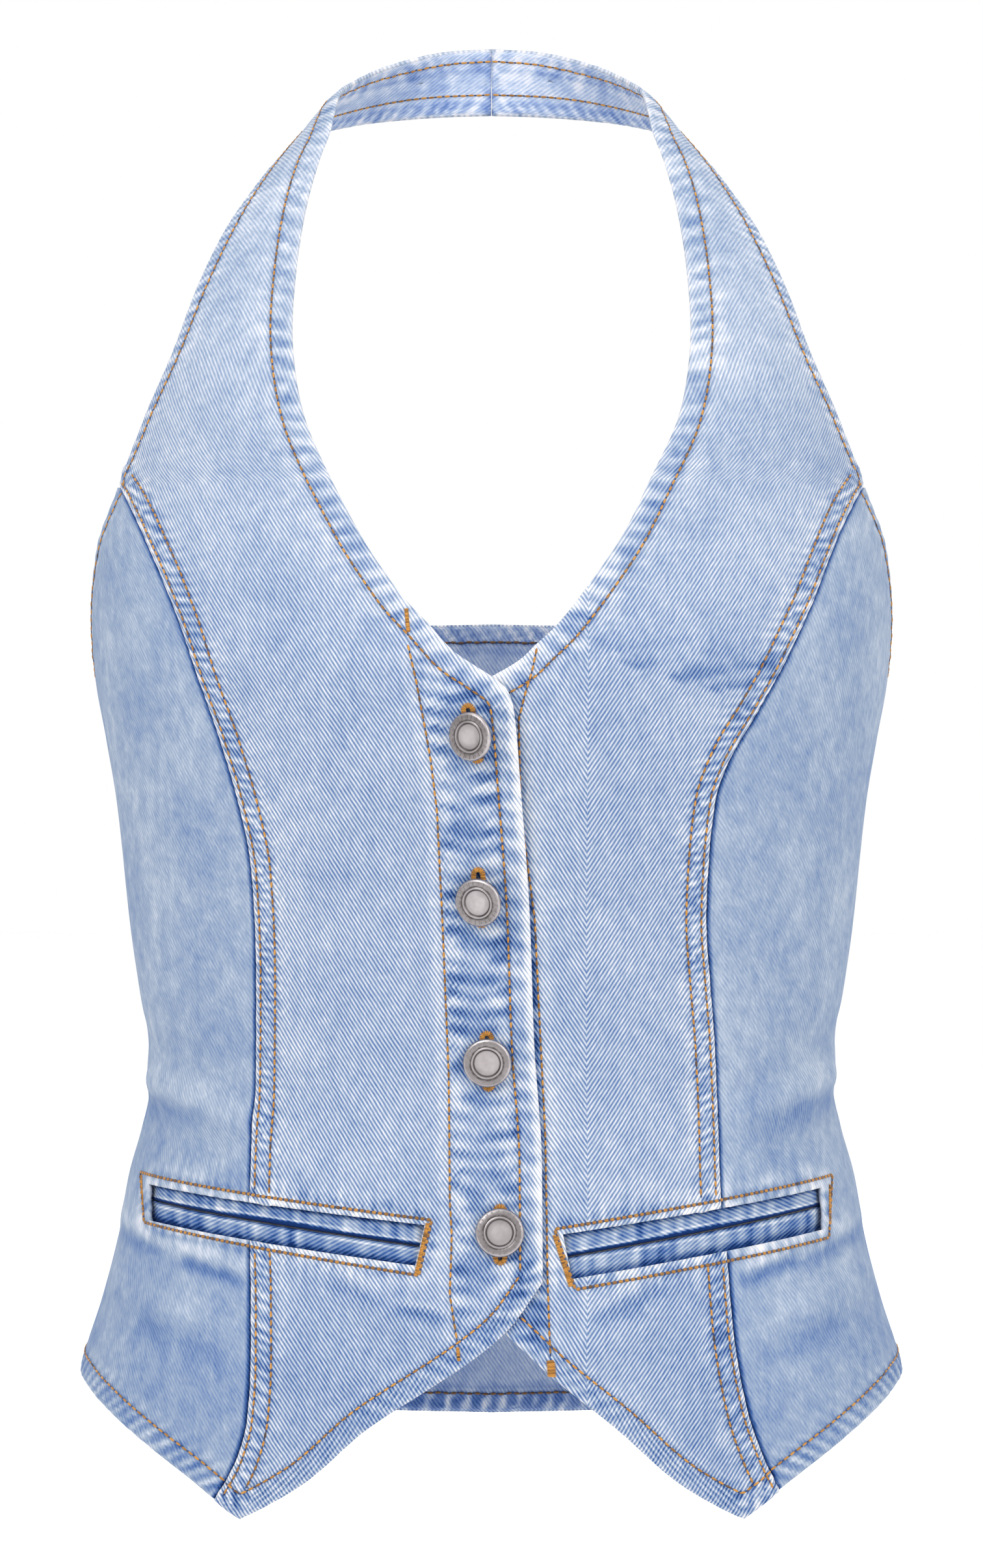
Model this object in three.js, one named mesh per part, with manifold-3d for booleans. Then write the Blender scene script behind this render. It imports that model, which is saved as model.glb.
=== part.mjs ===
// Halter-neck denim waistcoat in its worn form, in millimetres, +Z up.
// The origin is the inner face of the neckband at the centre back, and the wearer faces -Y.
// The wearer's right front lies at -X and laps over the left front.
import * as THREE from 'three';
import { mergeVertices } from 'three/addons/utils/BufferGeometryUtils.js';
import Module from 'manifold-3d';

const wasm = await Module();
wasm.setup();

// Cloth and seams
const CLOTH = 1.6;
const GAP = 0.3;
const HALF_GAP = GAP / 2;

// The outside of the cloth round the body: half width, front, back and squareness of each level.
const SIDE_Y = -95;
const RINGS = [
  { z: -150, half: 146, front: -168, back: 18, square: 2.4 },
  { z: -175, half: 151.3, front: -184, back: 20, square: 2.4 },
  { z: -200, half: 158.4, front: -200, back: 20, square: 2.35 },
  { z: -225, half: 160.4, front: -213, back: 19, square: 2.3 },
  { z: -250, half: 158.9, front: -220, back: 16, square: 2.25 },
  { z: -275, half: 154.6, front: -218, back: 12, square: 2.2 },
  { z: -300, half: 150.4, front: -213, back: 7, square: 2.2 },
  { z: -350, half: 145.0, front: -202, back: -3, square: 2.15 },
  { z: -400, half: 138.2, front: -195, back: -9, square: 2.15 },
  { z: -414, half: 137.3, front: -194, back: -9.5, square: 2.15 },
  { z: -430, half: 140.1, front: -194.5, back: -8, square: 2.15 },
  { z: -450, half: 145.6, front: -196.5, back: -4, square: 2.2 },
  { z: -475, half: 150.0, front: -200, back: 3, square: 2.2 },
  { z: -500, half: 156.5, front: -204, back: 9, square: 2.25 },
  { z: -522, half: 163.4, front: -207, back: 13, square: 2.25 },
  { z: -545, half: 167.5, front: -208, back: 15, square: 2.25 },
  { z: -580, half: 171.0, front: -208, back: 16, square: 2.25 },
];

// Soft folds in the body's cloth: degrees round from the centre front, level, half width and rise.
const DEGREE = 2.3;
const FOLDS = [
  { fromDeg: -80, fromZ: -411, toDeg: -52, toZ: -424, wide: 7, rise: 2 },
  { fromDeg: -80, fromZ: -428, toDeg: -58, toZ: -438, wide: 7, rise: -1.6 },
  { fromDeg: -88, fromZ: -393, toDeg: -66, toZ: -399, wide: 8, rise: -1.2 },
  { fromDeg: 80, fromZ: -409, toDeg: 54, toZ: -421, wide: 7, rise: 2 },
  { fromDeg: 80, fromZ: -425, toDeg: 60, toZ: -436, wide: 7, rise: -1.6 },
  { fromDeg: 88, fromZ: -391, toDeg: 68, toZ: -396, wide: 8, rise: -1.2 },
  { fromDeg: -24, fromZ: -494, toDeg: -12, toZ: -503, wide: 7, rise: 1.8 },
  { fromDeg: 30, fromZ: -500, toDeg: 14, toZ: -512, wide: 8, rise: 1.8 },
  { fromDeg: -78, fromZ: -486, toDeg: -60, toZ: -500, wide: 8, rise: 2.0 },
  { fromDeg: 78, fromZ: -486, toDeg: 60, toZ: -498, wide: 8, rise: 2.0 },
  { fromDeg: 112, fromZ: -404, toDeg: 150, toZ: -412, wide: 7, rise: 2.2 },
  { fromDeg: 248, fromZ: -402, toDeg: 214, toZ: -413, wide: 7, rise: 2.2 },
  { fromDeg: 165, fromZ: -425, toDeg: 195, toZ: -422, wide: 8, rise: -2.0 },
];

// Edges and seams of each front, as x at each level. The neckline runs on into the front edge.
const OVERLAP_EDGE = [
  { z: -176, x: -62.9 }, { z: -191.5, x: -54.7 }, { z: -202, x: -48.6 }, { z: -212, x: -41.9 },
  { z: -222, x: -34.4 }, { z: -233, x: -24 }, { z: -243, x: -14.5 }, { z: -248.5, x: -6 },
  { z: -252.5, x: 0.5 }, { z: -256.5, x: 5.5 }, { z: -262, x: 8 }, { z: -271, x: 9.3 },
  { z: -292, x: 11 }, { z: -342, x: 14.7 }, { z: -392, x: 16.5 }, { z: -442, x: 19.6 },
  { z: -485, x: 19.8 }, { z: -580, x: 19.8 },
];
const UNDERLAP_EDGE = [
  { z: -176, x: 62.2 }, { z: -191.5, x: 54.7 }, { z: -202, x: 48.6 }, { z: -212, x: 41.7 },
  { z: -222, x: 34.2 }, { z: -233, x: 25.2 }, { z: -240.5, x: 17 }, { z: -246, x: 11 },
  { z: -252, x: 0.5 }, { z: -257, x: -9 }, { z: -262, x: -15 }, { z: -270, x: -19 },
  { z: -280, x: -20.5 }, { z: -380, x: -17.5 }, { z: -488, x: -13.4 }, { z: -580, x: -13.4 },
];
const RIGHT_PRINCESS = [
  { z: -176, x: -147.4 }, { z: -199, x: -135.6 }, { z: -229, x: -122.2 }, { z: -251.5, x: -114 },
  { z: -277, x: -104.9 }, { z: -302, x: -97.8 }, { z: -326.5, x: -93.4 }, { z: -363, x: -91.9 },
  { z: -418, x: -92.4 }, { z: -437, x: -94 }, { z: -457, x: -94.5 }, { z: -494, x: -93.7 },
  { z: -517, x: -93.6 }, { z: -538, x: -94.9 }, { z: -552, x: -98.4 }, { z: -563.5, x: -103.9 },
  { z: -570, x: -108 }, { z: -580, x: -113 },
];
const LEFT_PRINCESS = [
  { z: -176, x: 147.4 }, { z: -196, x: 136.6 }, { z: -223, x: 125.2 }, { z: -245, x: 114.4 },
  { z: -266, x: 102.5 }, { z: -285.5, x: 91.3 }, { z: -299, x: 86.8 }, { z: -322, x: 84.4 },
  { z: -345, x: 83.6 }, { z: -369, x: 85.2 }, { z: -393.5, x: 87.2 }, { z: -424, x: 88.6 },
  { z: -459, x: 89.8 }, { z: -477, x: 91.8 }, { z: -506, x: 94.2 }, { z: -535, x: 99.4 },
  { z: -552, x: 105.2 }, { z: -567.5, x: 112.4 }, { z: -580, x: 118 },
];

// Armhole edge of a side panel, and the side seam that it ends on, in degrees from the front.
const SIDE_SEAM = 97;
const TIP = { z: -176, deg: 80.9 };
const ARMHOLE = [
  { z: TIP.z, deg: TIP.deg }, { z: -185, deg: 81.8 }, { z: -200, deg: 84.2 }, { z: -215, deg: 85.8 },
  { z: -230, deg: 87.6 }, { z: -240, deg: 90 }, { z: -247, deg: 93.4 }, { z: -250, deg: SIDE_SEAM },
  { z: -580, deg: SIDE_SEAM },
];

// Hems: from the front edge out to the point, and from the point back to the side seam.
const HEM_POINT = { x: 98, z: -577 };
const SIDE_HEM = -526;
const OVERLAP_HEM = [
  { x: 19.8, z: -485.3 }, { x: 5.7, z: -504 }, { x: -8.7, z: -515.5 }, { x: -23.5, z: -525 },
  { x: -48.7, z: -541.4 }, { x: -72.3, z: -562 }, { x: -89.2, z: -572.5 }, { x: -98, z: -577 },
];
const UNDERLAP_HEM = [
  { x: -13.4, z: -487.8 }, { x: 4.7, z: -504 }, { x: 26, z: -523 }, { x: 49, z: -541.4 },
  { x: 72.3, z: -562 }, { x: 89.2, z: -572.5 }, { x: 98, z: -577 },
];
const OUTER_HEM = [
  { x: 98, z: -577 }, { x: 103.8, z: -573 }, { x: 116, z: -563.5 }, { x: 130, z: -554 },
  { x: 143, z: -545 }, { x: 154.6, z: -536.5 }, { x: 162, z: -530.5 },
];

// Outer face of the halter strap, from the centre back of the neck down to the bust:
// neckline edge, armhole edge and how far the middle stands proud of the line between them.
const STRAP = [
  { nx: 0, ny: CLOTH, nz: 13.9, ax: 0, ay: CLOTH, az: -14.1, crown: 0.5 },
  { nx: 21, ny: -3, nz: 12, ax: 24, ay: 1, az: -15, crown: 0.8 },
  { nx: 43, ny: -19, nz: 4.7, ax: 50, ay: -6, az: -18, crown: 1 },
  { nx: 55, ny: -38, nz: -3, ax: 67, ay: -21, az: -22.5, crown: 1.5 },
  { nx: 61.8, ny: -57, nz: -10.5, ax: 77, ay: -41, az: -28, crown: 2 },
  { nx: 63.6, ny: -70, nz: -19.5, ax: 83.5, ay: -59, az: -35.5, crown: 2 },
  { nx: 65.4, ny: -81, nz: -30, ax: 90.8, ay: -76, az: -45, crown: 2 },
  { nx: 69.2, ny: -91.5, nz: -42, ax: 97.8, ay: -90, az: -56, crown: 2.5 },
  { nx: 73.8, ny: -108, nz: -62, ax: 106.3, ay: -105, az: -70.5, crown: 3 },
  { nx: 77.4, ny: -130, nz: -91, ax: 117, ay: -121, az: -95, crown: 4 },
  { nx: 78, ny: -150, nz: -121, ax: 126.5, ay: -130, az: -122, crown: 6.5 },
  { nx: 73, ny: -166, nz: -149.8, ax: 138.4, ay: -128, az: -149.5, crown: 10.5 },
];

// Back panel: straight top at the centre back, dropping to the armholes, and a dipped hem.
const BACK_TOP = [
  { deg: 97, z: -250 }, { deg: 110, z: -243 }, { deg: 130, z: -233 }, { deg: 150, z: -227.5 },
  { deg: 180, z: -226 },
];
const BACK_HEM = [
  { deg: 97, z: SIDE_HEM }, { deg: 115, z: -536 }, { deg: 135, z: -549 }, { deg: 155, z: -556 },
  { deg: 180, z: -557.5 },
];

// Lap of the fronts: where the upper front climbs over the edge of the lower one.
const LAP = {
  rise: CLOTH + GAP, before: 15, climb: 12, roll: 2.5, rollWide: 30, rollTop: -285, rollEnd: -345,
};

// Slanting double-welt pockets: corners of the window and the slit between the welts.
const POCKETS = [
  {
    side: 'right',
    top: [{ x: -135.3, z: -451.2 }, { x: -103, z: -455 }, { x: -69, z: -458 }, { x: -25.8, z: -463 }],
    slit: [{ x: -135, z: -457 }, { x: -103.7, z: -462.5 }, { x: -69.9, z: -466.1 }, { x: -27.5, z: -471.5 }],
    bottom: [{ x: -134.8, z: -465 }, { x: -103, z: -470 }, { x: -69, z: -474 }, { x: -29.3, z: -478.5 }],
  },
  {
    side: 'left',
    top: [{ x: 129.8, z: -452 }, { x: 92.7, z: -457.5 }, { x: 67, z: -461.5 }, { x: 27.5, z: -466.6 }],
    slit: [{ x: 130.5, z: -459 }, { x: 92.7, z: -465.6 }, { x: 67.5, z: -470.2 }, { x: 29, z: -475.3 }],
    bottom: [{ x: 130.7, z: -468 }, { x: 92.7, z: -474 }, { x: 67, z: -478.5 }, { x: 31, z: -483.6 }],
  },
];
const WELT_MARGIN = 4;
const WELT_DROP = 0.7;
const BAG = { depth: 52, over: 5, layer: 1, space: 0.8, seam: 5, aboveHem: 24 };

// Shank buttons: place on the lap, sideways lean, and the sizes of one button.
const BUTTONS = [
  { x: -7.2, z: -274, lean: 32 }, { x: -4.5, z: -336.8, lean: 22 },
  { x: -1.5, z: -400, lean: 6 }, { x: 3.3, z: -466.5, lean: 4 },
];
const BUTTON = { radius: 9.4, shank: 2.6, tack: 4.6, tackThick: 1.1, thick: 3, dish: 5.1, dishDepth: 0.6 };
const EYELET = 4;
const BUTTONHOLE = { length: 22, width: 2.6 };

// Cutters and the hem search
const WINDOW = { nearest: -100, deep: 160 };
const HOLE_DEPTH = 24;
const HEM_GUESS = -540;
const JOIN_STEP = 14;

// Mesh steps
const BODY_ROWS = 36;
const STRAP_STEPS = 2;
const FRONT_COLUMNS = 11;
const SIDE_COLUMNS = 8;
const BACK_COLUMNS = 18;
const BACK_ROWS = 28;
const BUTTON_SIDES = 18;

const radians = THREE.MathUtils.degToRad;
const degrees = THREE.MathUtils.radToDeg;
const lerp = THREE.MathUtils.lerp;
const smoothstep = THREE.MathUtils.smoothstep;
const clamp = THREE.MathUtils.clamp;

// A smooth curve through table rows: value column against key column.
function curve(rows, key, column) {
  const sorted = [...rows].sort((p, q) => p[key] - q[key]);
  const at = sorted.map((row) => row[key]);
  const value = sorted.map((row) => row[column]);
  const step = (i) => (value[i + 1] - value[i]) / (at[i + 1] - at[i]);
  const last = at.length - 1;
  const slope = at.map((_, i) => {
    if (i === 0) return step(0);
    if (i === last) return step(last - 1);
    const [before, after] = [step(i - 1), step(i)];
    return before * after <= 0 ? 0 : (2 * before * after) / (before + after);
  });
  return (where) => {
    const place = Math.min(Math.max(where, at[0]), at[last]);
    let i = 0;
    while (i < last - 1 && place > at[i + 1]) i += 1;
    const width = at[i + 1] - at[i];
    const t = (place - at[i]) / width;
    const [t2, t3] = [t * t, t * t * t];
    return (2 * t3 - 3 * t2 + 1) * value[i] + (t3 - 2 * t2 + t) * width * slope[i]
      + (3 * t2 - 2 * t3) * value[i + 1] + (t3 - t2) * width * slope[i + 1];
  };
}

const ring = {
  half: curve(RINGS, 'z', 'half'),
  front: curve(RINGS, 'z', 'front'),
  back: curve(RINGS, 'z', 'back'),
  square: curve(RINGS, 'z', 'square'),
};

// Height of the folds at one place on the body.
function foldRise(deg, z) {
  const round = deg < -130 ? deg + 360 : deg;
  let rise = 0;
  for (const fold of FOLDS) {
    const across = (fold.toDeg - fold.fromDeg) * DEGREE;
    const down = fold.toZ - fold.fromZ;
    const px = (round - fold.fromDeg) * DEGREE;
    const pz = z - fold.fromZ;
    const along = (px * across + pz * down) / (across * across + down * down);
    const held = Math.min(Math.max(along, 0), 1);
    const away = Math.hypot(px - held * across, pz - held * down);
    rise += fold.rise * Math.exp(-((away / fold.wide) ** 2));
  }
  return rise;
}

function distanceOut(deg, z) {
  const [sin, cos] = [Math.sin(radians(deg)), Math.cos(radians(deg))];
  const depth = cos > 0 ? SIDE_Y - ring.front(z) : ring.back(z) - SIDE_Y;
  const n = ring.square(z);
  const base = (Math.abs(sin / ring.half(z)) ** n + Math.abs(cos / depth) ** n) ** (-1 / n);
  return base - CLOTH + foldRise(deg, z);
}

function bodyPoint(deg, z) {
  const out = distanceOut(deg, z);
  return new THREE.Vector3(out * Math.sin(radians(deg)), SIDE_Y - out * Math.cos(radians(deg)), z);
}

// Degrees round from the front at which the body has this x.
function degreeAt(x, z) {
  const n = ring.square(z);
  const share = Math.min(Math.abs(x) / ring.half(z), 1);
  const forward = (SIDE_Y - ring.front(z)) * (1 - share ** n) ** (1 / n);
  return degrees(Math.atan2(x, forward));
}

function surfaceNormal(place, u, v, du, dv) {
  const alongU = place(u + du, v).sub(place(u - du, v));
  const alongV = place(u, v + dv).sub(place(u, v - dv));
  return alongU.cross(alongV).normalize();
}

function bodyOffset(deg, z, lift) {
  const normal = surfaceNormal(bodyPoint, deg, z, 0.5, 1).negate();
  const point = bodyPoint(deg, z);
  if (normal.dot(new THREE.Vector3(point.x, point.y - SIDE_Y, 0)) < 0) normal.negate();
  return point.addScaledVector(normal, lift);
}

const halfGapDegrees = (deg, z) => degrees(HALF_GAP / distanceOut(deg, z));

// Everything that differs between the two fronts.
function frontSide(sign, edgeRows, princessRows, hemRows, laps) {
  const edgeX = curve(edgeRows, 'z', 'x');
  const princessX = curve(princessRows, 'z', 'x');
  const armhole = curve(ARMHOLE, 'z', 'deg');
  const toDegrees = (row) => ({ deg: Math.abs(degreeAt(row.x, row.z)) * Math.sign(sign * row.x), z: row.z });
  const inner = curve(hemRows.map(toDegrees), 'deg', 'z');
  const outerRows = OUTER_HEM.map((row) => ({ deg: Math.abs(degreeAt(row.x, row.z)), z: row.z }));
  const outer = curve([...outerRows, { deg: SIDE_SEAM, z: SIDE_HEM }], 'deg', 'z');
  const pointDeg = degreeAt(HEM_POINT.x, HEM_POINT.z);
  const hem = (deg) => (sign * deg < pointDeg ? inner(sign * deg) : outer(sign * deg));
  return { sign, edgeX, princessX, armhole: (z) => sign * armhole(z), hem, laps, pointDeg: sign * pointDeg };
}

const sides = {
  right: frontSide(-1, OVERLAP_EDGE, RIGHT_PRINCESS, OVERLAP_HEM, true),
  left: frontSide(1, UNDERLAP_EDGE, LEFT_PRINCESS, UNDERLAP_HEM, false),
};

// How far the upper front lies above the body, over the lower front.
function lapRise(x, z) {
  const start = sides.left.edgeX(z) - LAP.before;
  const roll = smoothstep(z, LAP.rollEnd, LAP.rollTop) * LAP.roll;
  return LAP.rise * smoothstep(x, start, start + LAP.climb)
    + roll * smoothstep(x, start + LAP.climb, start + LAP.climb + LAP.rollWide);
}

// Level of a column's end, where the end's own level moves the column sideways.
function settle(start, degAt, level) {
  let z = start;
  for (let turn = 0; turn < 12; turn += 1) z = level(degAt(z));
  return z;
}

// A closed wall from a grid: place(i, j, outer) gives the point on either face.
function wallGeometry(columns, rows, place) {
  const points = [];
  for (const outer of [false, true]) {
    for (let j = 0; j < rows; j += 1) {
      for (let i = 0; i < columns; i += 1) points.push(place(i, j, outer));
    }
  }
  const inner = (i, j) => j * columns + i;
  const face = (i, j) => rows * columns + inner(i, j);
  const index = [];
  const quad = (a, b, c, d) => index.push(a, b, c, a, c, d);
  for (let j = 0; j + 1 < rows; j += 1) {
    for (let i = 0; i + 1 < columns; i += 1) {
      quad(face(i, j), face(i + 1, j), face(i + 1, j + 1), face(i, j + 1));
      quad(inner(i, j), inner(i, j + 1), inner(i + 1, j + 1), inner(i + 1, j));
    }
  }
  for (let i = 0; i + 1 < columns; i += 1) {
    quad(inner(i, 0), inner(i + 1, 0), face(i + 1, 0), face(i, 0));
    quad(face(i, rows - 1), face(i + 1, rows - 1), inner(i + 1, rows - 1), inner(i, rows - 1));
  }
  for (let j = 0; j + 1 < rows; j += 1) {
    quad(face(0, j), face(0, j + 1), inner(0, j + 1), inner(0, j));
    quad(inner(columns - 1, j), inner(columns - 1, j + 1), face(columns - 1, j + 1), face(columns - 1, j));
  }
  const geometry = new THREE.BufferGeometry();
  geometry.setAttribute('position', new THREE.Float32BufferAttribute(points.flatMap((p) => p.toArray()), 3));
  geometry.setIndex(index);
  if (signedVolume(geometry) < 0) geometry.setIndex(flipped(index));
  return geometry;
}

function signedVolume(geometry) {
  const position = geometry.getAttribute('position');
  const corner = (k) => new THREE.Vector3().fromBufferAttribute(position, geometry.index.getX(k));
  let volume = 0;
  for (let k = 0; k < geometry.index.count; k += 3) {
    volume += corner(k).dot(corner(k + 1).cross(corner(k + 2)));
  }
  return volume;
}

function flipped(index) {
  const turned = [];
  for (let k = 0; k < index.length; k += 3) turned.push(index[k], index[k + 2], index[k + 1]);
  return turned;
}

// Booleans
function toSolid(source) {
  const bare = source.clone();
  bare.deleteAttribute('normal');
  bare.deleteAttribute('uv');
  const merged = mergeVertices(bare, 1e-4);
  const vertProperties = new Float32Array(merged.getAttribute('position').array);
  const triVerts = new Uint32Array(merged.index.array);
  return new wasm.Manifold(new wasm.Mesh({ numProp: 3, vertProperties, triVerts }));
}

function toGeometry(solid) {
  const mesh = solid.getMesh();
  const geometry = new THREE.BufferGeometry();
  geometry.setAttribute('position', new THREE.BufferAttribute(mesh.vertProperties, 3));
  geometry.setIndex(new THREE.BufferAttribute(mesh.triVerts, 1));
  return geometry;
}

function cut(geometry, cutters) {
  return toGeometry(cutters.reduce((solid, cutter) => solid.subtract(cutter), toSolid(geometry)));
}

// Point and outward direction on the body's cloth at a given x.
function clothPoint(x, z, lift) {
  return bodyOffset(degreeAt(x, z), z, lift);
}

// Strap stations of one side, as rows from the neckline edge to the armhole edge.
function strapPoint(side, station, share) {
  const [previous, row, next] = [-1, 0, 1].map((step) => STRAP[clamp(station + step, 0, STRAP.length - 1)]);
  const neck = new THREE.Vector3(row.nx, row.ny, row.nz);
  const arm = new THREE.Vector3(row.ax, row.ay, row.az);
  const along = new THREE.Vector3(
    next.nx + next.ax - previous.nx - previous.ax,
    next.ny + next.ay - previous.ny - previous.ay,
    next.nz + next.az - previous.nz - previous.az,
  );
  const outward = along.cross(arm.clone().sub(neck)).normalize();
  const point = neck.lerp(arm, share).addScaledVector(outward, row.crown * 4 * share * (1 - share));
  return point.multiply(new THREE.Vector3(side.sign, 1, 1));
}

function centreDegrees(side, share, z) {
  const edge = degreeAt(side.edgeX(z), z);
  const seam = degreeAt(side.princessX(z), z);
  const seamGap = side.sign * halfGapDegrees(seam, z);
  return lerp(edge, seam - seamGap, share);
}

function centreBodyPoint(side, share, z, lift) {
  const deg = centreDegrees(side, share, z);
  const x = bodyPoint(deg, z).x;
  const lap = side.laps ? lapRise(x, z) : 0;
  return bodyOffset(deg, z, lap + lift);
}

// Columns of a centre panel, with one on the hem's point.
function centreShares(side) {
  const z = HEM_POINT.z;
  const edge = centreDegrees(side, 0, z);
  const seam = centreDegrees(side, 1, z);
  const point = (side.pointDeg - edge) / (seam - edge);
  const shares = Array.from({ length: FRONT_COLUMNS }, (_, i) => (point * i) / (FRONT_COLUMNS - 1));
  return [...shares, 1];
}

// Strap and body as one panel: rows of the strap first, then rows down to the hem.
function centrePanel(side) {
  const shares = centreShares(side);
  const stations = STRAP.length;
  const strapRows = stations * STRAP_STEPS;
  const rows = strapRows + BODY_ROWS;
  const grid = shares.map((share) => {
    const strap = STRAP.map((_, k) => strapPoint(side, k, share));
    const joined = [TIP.z, TIP.z - JOIN_STEP].map((z) => centreBodyPoint(side, share, z, CLOTH));
    const route = new THREE.CatmullRomCurve3([...strap, ...joined], false, 'centripetal');
    const end = settle(HEM_GUESS, (z) => centreDegrees(side, share, z), side.hem);
    const column = [];
    for (let j = 0; j < strapRows; j += 1) {
      const point = route.getPoint(j / STRAP_STEPS / (stations + 1));
      if (j === 0) point.x = side.sign * HALF_GAP;
      column.push({ point });
    }
    for (let j = 0; j <= BODY_ROWS; j += 1) {
      column.push({ z: lerp(TIP.z, end, j / BODY_ROWS), share });
    }
    return column;
  });
  // Square to the strap's outer face, towards the body.
  const strapNormal = (i, j) => {
    const at = (p, q) => {
      const entry = grid[Math.min(Math.max(p, 0), shares.length - 1)][Math.max(q, 0)];
      return entry.point ?? centreBodyPoint(side, entry.share, entry.z, CLOTH);
    };
    const across = at(i + 1, j).clone().sub(at(i - 1, j));
    const down = at(i, j + 1).clone().sub(at(i, j - 1));
    return across.cross(down).multiplyScalar(side.sign).normalize();
  };
  return wallGeometry(shares.length, rows + 1, (i, j, outer) => {
    const entry = grid[i][j];
    const lift = outer ? CLOTH : 0;
    if (!entry.point) return centreBodyPoint(side, entry.share, entry.z, lift);
    const placed = entry.point.clone().addScaledVector(strapNormal(i, j), CLOTH - lift);
    if (j === 0) placed.x = side.sign * HALF_GAP;
    return placed;
  });
}

function sidePanel(side) {
  const degAt = (share, z) => {
    const seam = degreeAt(side.princessX(z), z);
    const outer = side.armhole(z);
    const held = outer - side.sign * halfGapDegrees(outer, z);
    return lerp(seam + side.sign * halfGapDegrees(seam, z), held, share);
  };
  return wallGeometry(SIDE_COLUMNS + 1, BODY_ROWS + 1, (i, j, outer) => {
    const share = i / SIDE_COLUMNS;
    const end = settle(HEM_GUESS, (z) => degAt(share, z), side.hem);
    const z = lerp(TIP.z, end, j / BODY_ROWS);
    return bodyOffset(degAt(share, z), z, outer ? CLOTH : 0);
  });
}

function backPanel() {
  const topAt = curve(BACK_TOP, 'deg', 'z');
  const hemAt = curve(BACK_HEM, 'deg', 'z');
  return wallGeometry(BACK_COLUMNS + 1, BACK_ROWS + 1, (i, j, outer) => {
    const share = i / BACK_COLUMNS;
    const rough = lerp(SIDE_SEAM, 360 - SIDE_SEAM, share);
    const mirrored = Math.min(rough, 360 - rough);
    const z = lerp(topAt(mirrored), hemAt(mirrored), j / BACK_ROWS);
    const gap = halfGapDegrees(SIDE_SEAM, z);
    const deg = lerp(SIDE_SEAM + gap, 360 - SIDE_SEAM - gap, share);
    return bodyOffset(deg, z, outer ? CLOTH : 0);
  });
}

// A line across a pocket, from its outer end to its inner end.
function pocketLine(rows) {
  return curve(rows, 'x', 'z');
}

// A strip behind the fronts between two lines, from one depth to another.
function pocketStrip(pocket, upper, lower, columns, rows, depth, grow) {
  const xs = pocket.slit.map((row) => row.x);
  const [low, high] = [Math.min(...xs) - grow, Math.max(...xs) + grow];
  return wallGeometry(columns + 1, rows + 1, (i, j, outer) => {
    const x = lerp(low, high, i / columns);
    return clothPoint(x, lerp(upper(x), lower(x), j / rows), outer ? depth.front : depth.behind);
  });
}

function welts(pocket) {
  const [top, slit, bottom] = [pocket.top, pocket.slit, pocket.bottom].map(pocketLine);
  const depth = { front: -WELT_DROP, behind: -WELT_DROP - CLOTH };
  const strip = (upper, lower) => pocketStrip(pocket, upper, lower, 14, 2, depth, WELT_MARGIN);
  return {
    upper: strip((x) => top(x) + WELT_MARGIN, (x) => slit(x) + HALF_GAP),
    lower: strip((x) => slit(x) - HALF_GAP, (x) => bottom(x) - WELT_MARGIN),
  };
}

// A flat bag behind the welts: two layers joined at the sides and bottom, open at the slit.
function pocketBag(pocket) {
  const slit = pocketLine(pocket.slit);
  const front = -WELT_DROP - CLOTH - GAP;
  const behind = front - 2 * BAG.layer - BAG.space;
  const { hem } = sides[pocket.side];
  const deepest = (x) => Math.max(slit(x) - BAG.depth, hem(degreeAt(x, slit(x))) + BAG.aboveHem);
  const above = (x) => slit(x) + BAG.over;
  const body = pocketStrip(pocket, above, deepest, 12, 6, { front, behind }, WELT_MARGIN);
  const space = { front: front - BAG.layer, behind: behind + BAG.layer };
  const hollow = pocketStrip(
    pocket, (x) => slit(x) + 2 * BAG.over, (x) => deepest(x) + BAG.seam, 12, 6, space, WELT_MARGIN - BAG.seam,
  );
  const mouth = pocketStrip(
    pocket, (x) => slit(x) + 2 * BAG.over, (x) => slit(x) - 1, 12, 1,
    { front: front + 2, behind: front - BAG.layer - BAG.space / 2 }, 2 * WELT_MARGIN,
  );
  return cut(body, [toSolid(hollow), toSolid(mouth)]);
}

// The window through the fronts, cut straight back along Y.
function windowCutter(pocket) {
  const outline = [...pocket.top, ...[...pocket.bottom].reverse()];
  const shape = new THREE.Shape(outline.map((row) => new THREE.Vector2(row.x, row.z)));
  const geometry = new THREE.ExtrudeGeometry(shape, { depth: WINDOW.deep, bevelEnabled: false, steps: 1 });
  geometry.rotateX(Math.PI / 2);
  geometry.translate(0, WINDOW.nearest, 0);
  return toSolid(geometry);
}

// Frame of one button: its foot on the body's cloth, the shank's direction and the head's.
function buttonFrame(button) {
  const deg = degreeAt(button.x, button.z);
  const foot = bodyOffset(deg, button.z, 0);
  const outward = bodyOffset(deg, button.z, 1).sub(foot);
  const leaned = outward.clone().applyAxisAngle(new THREE.Vector3(0, 0, 1), -radians(button.lean));
  return { foot, outward, leaned, cloth: lapRise(button.x, button.z) + CLOTH };
}

function placeAlong(geometry, foot, direction) {
  const turn = new THREE.Quaternion().setFromUnitVectors(new THREE.Vector3(0, 1, 0), direction);
  geometry.applyQuaternion(turn);
  geometry.translate(foot.x, foot.y, foot.z);
  return geometry;
}

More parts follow.
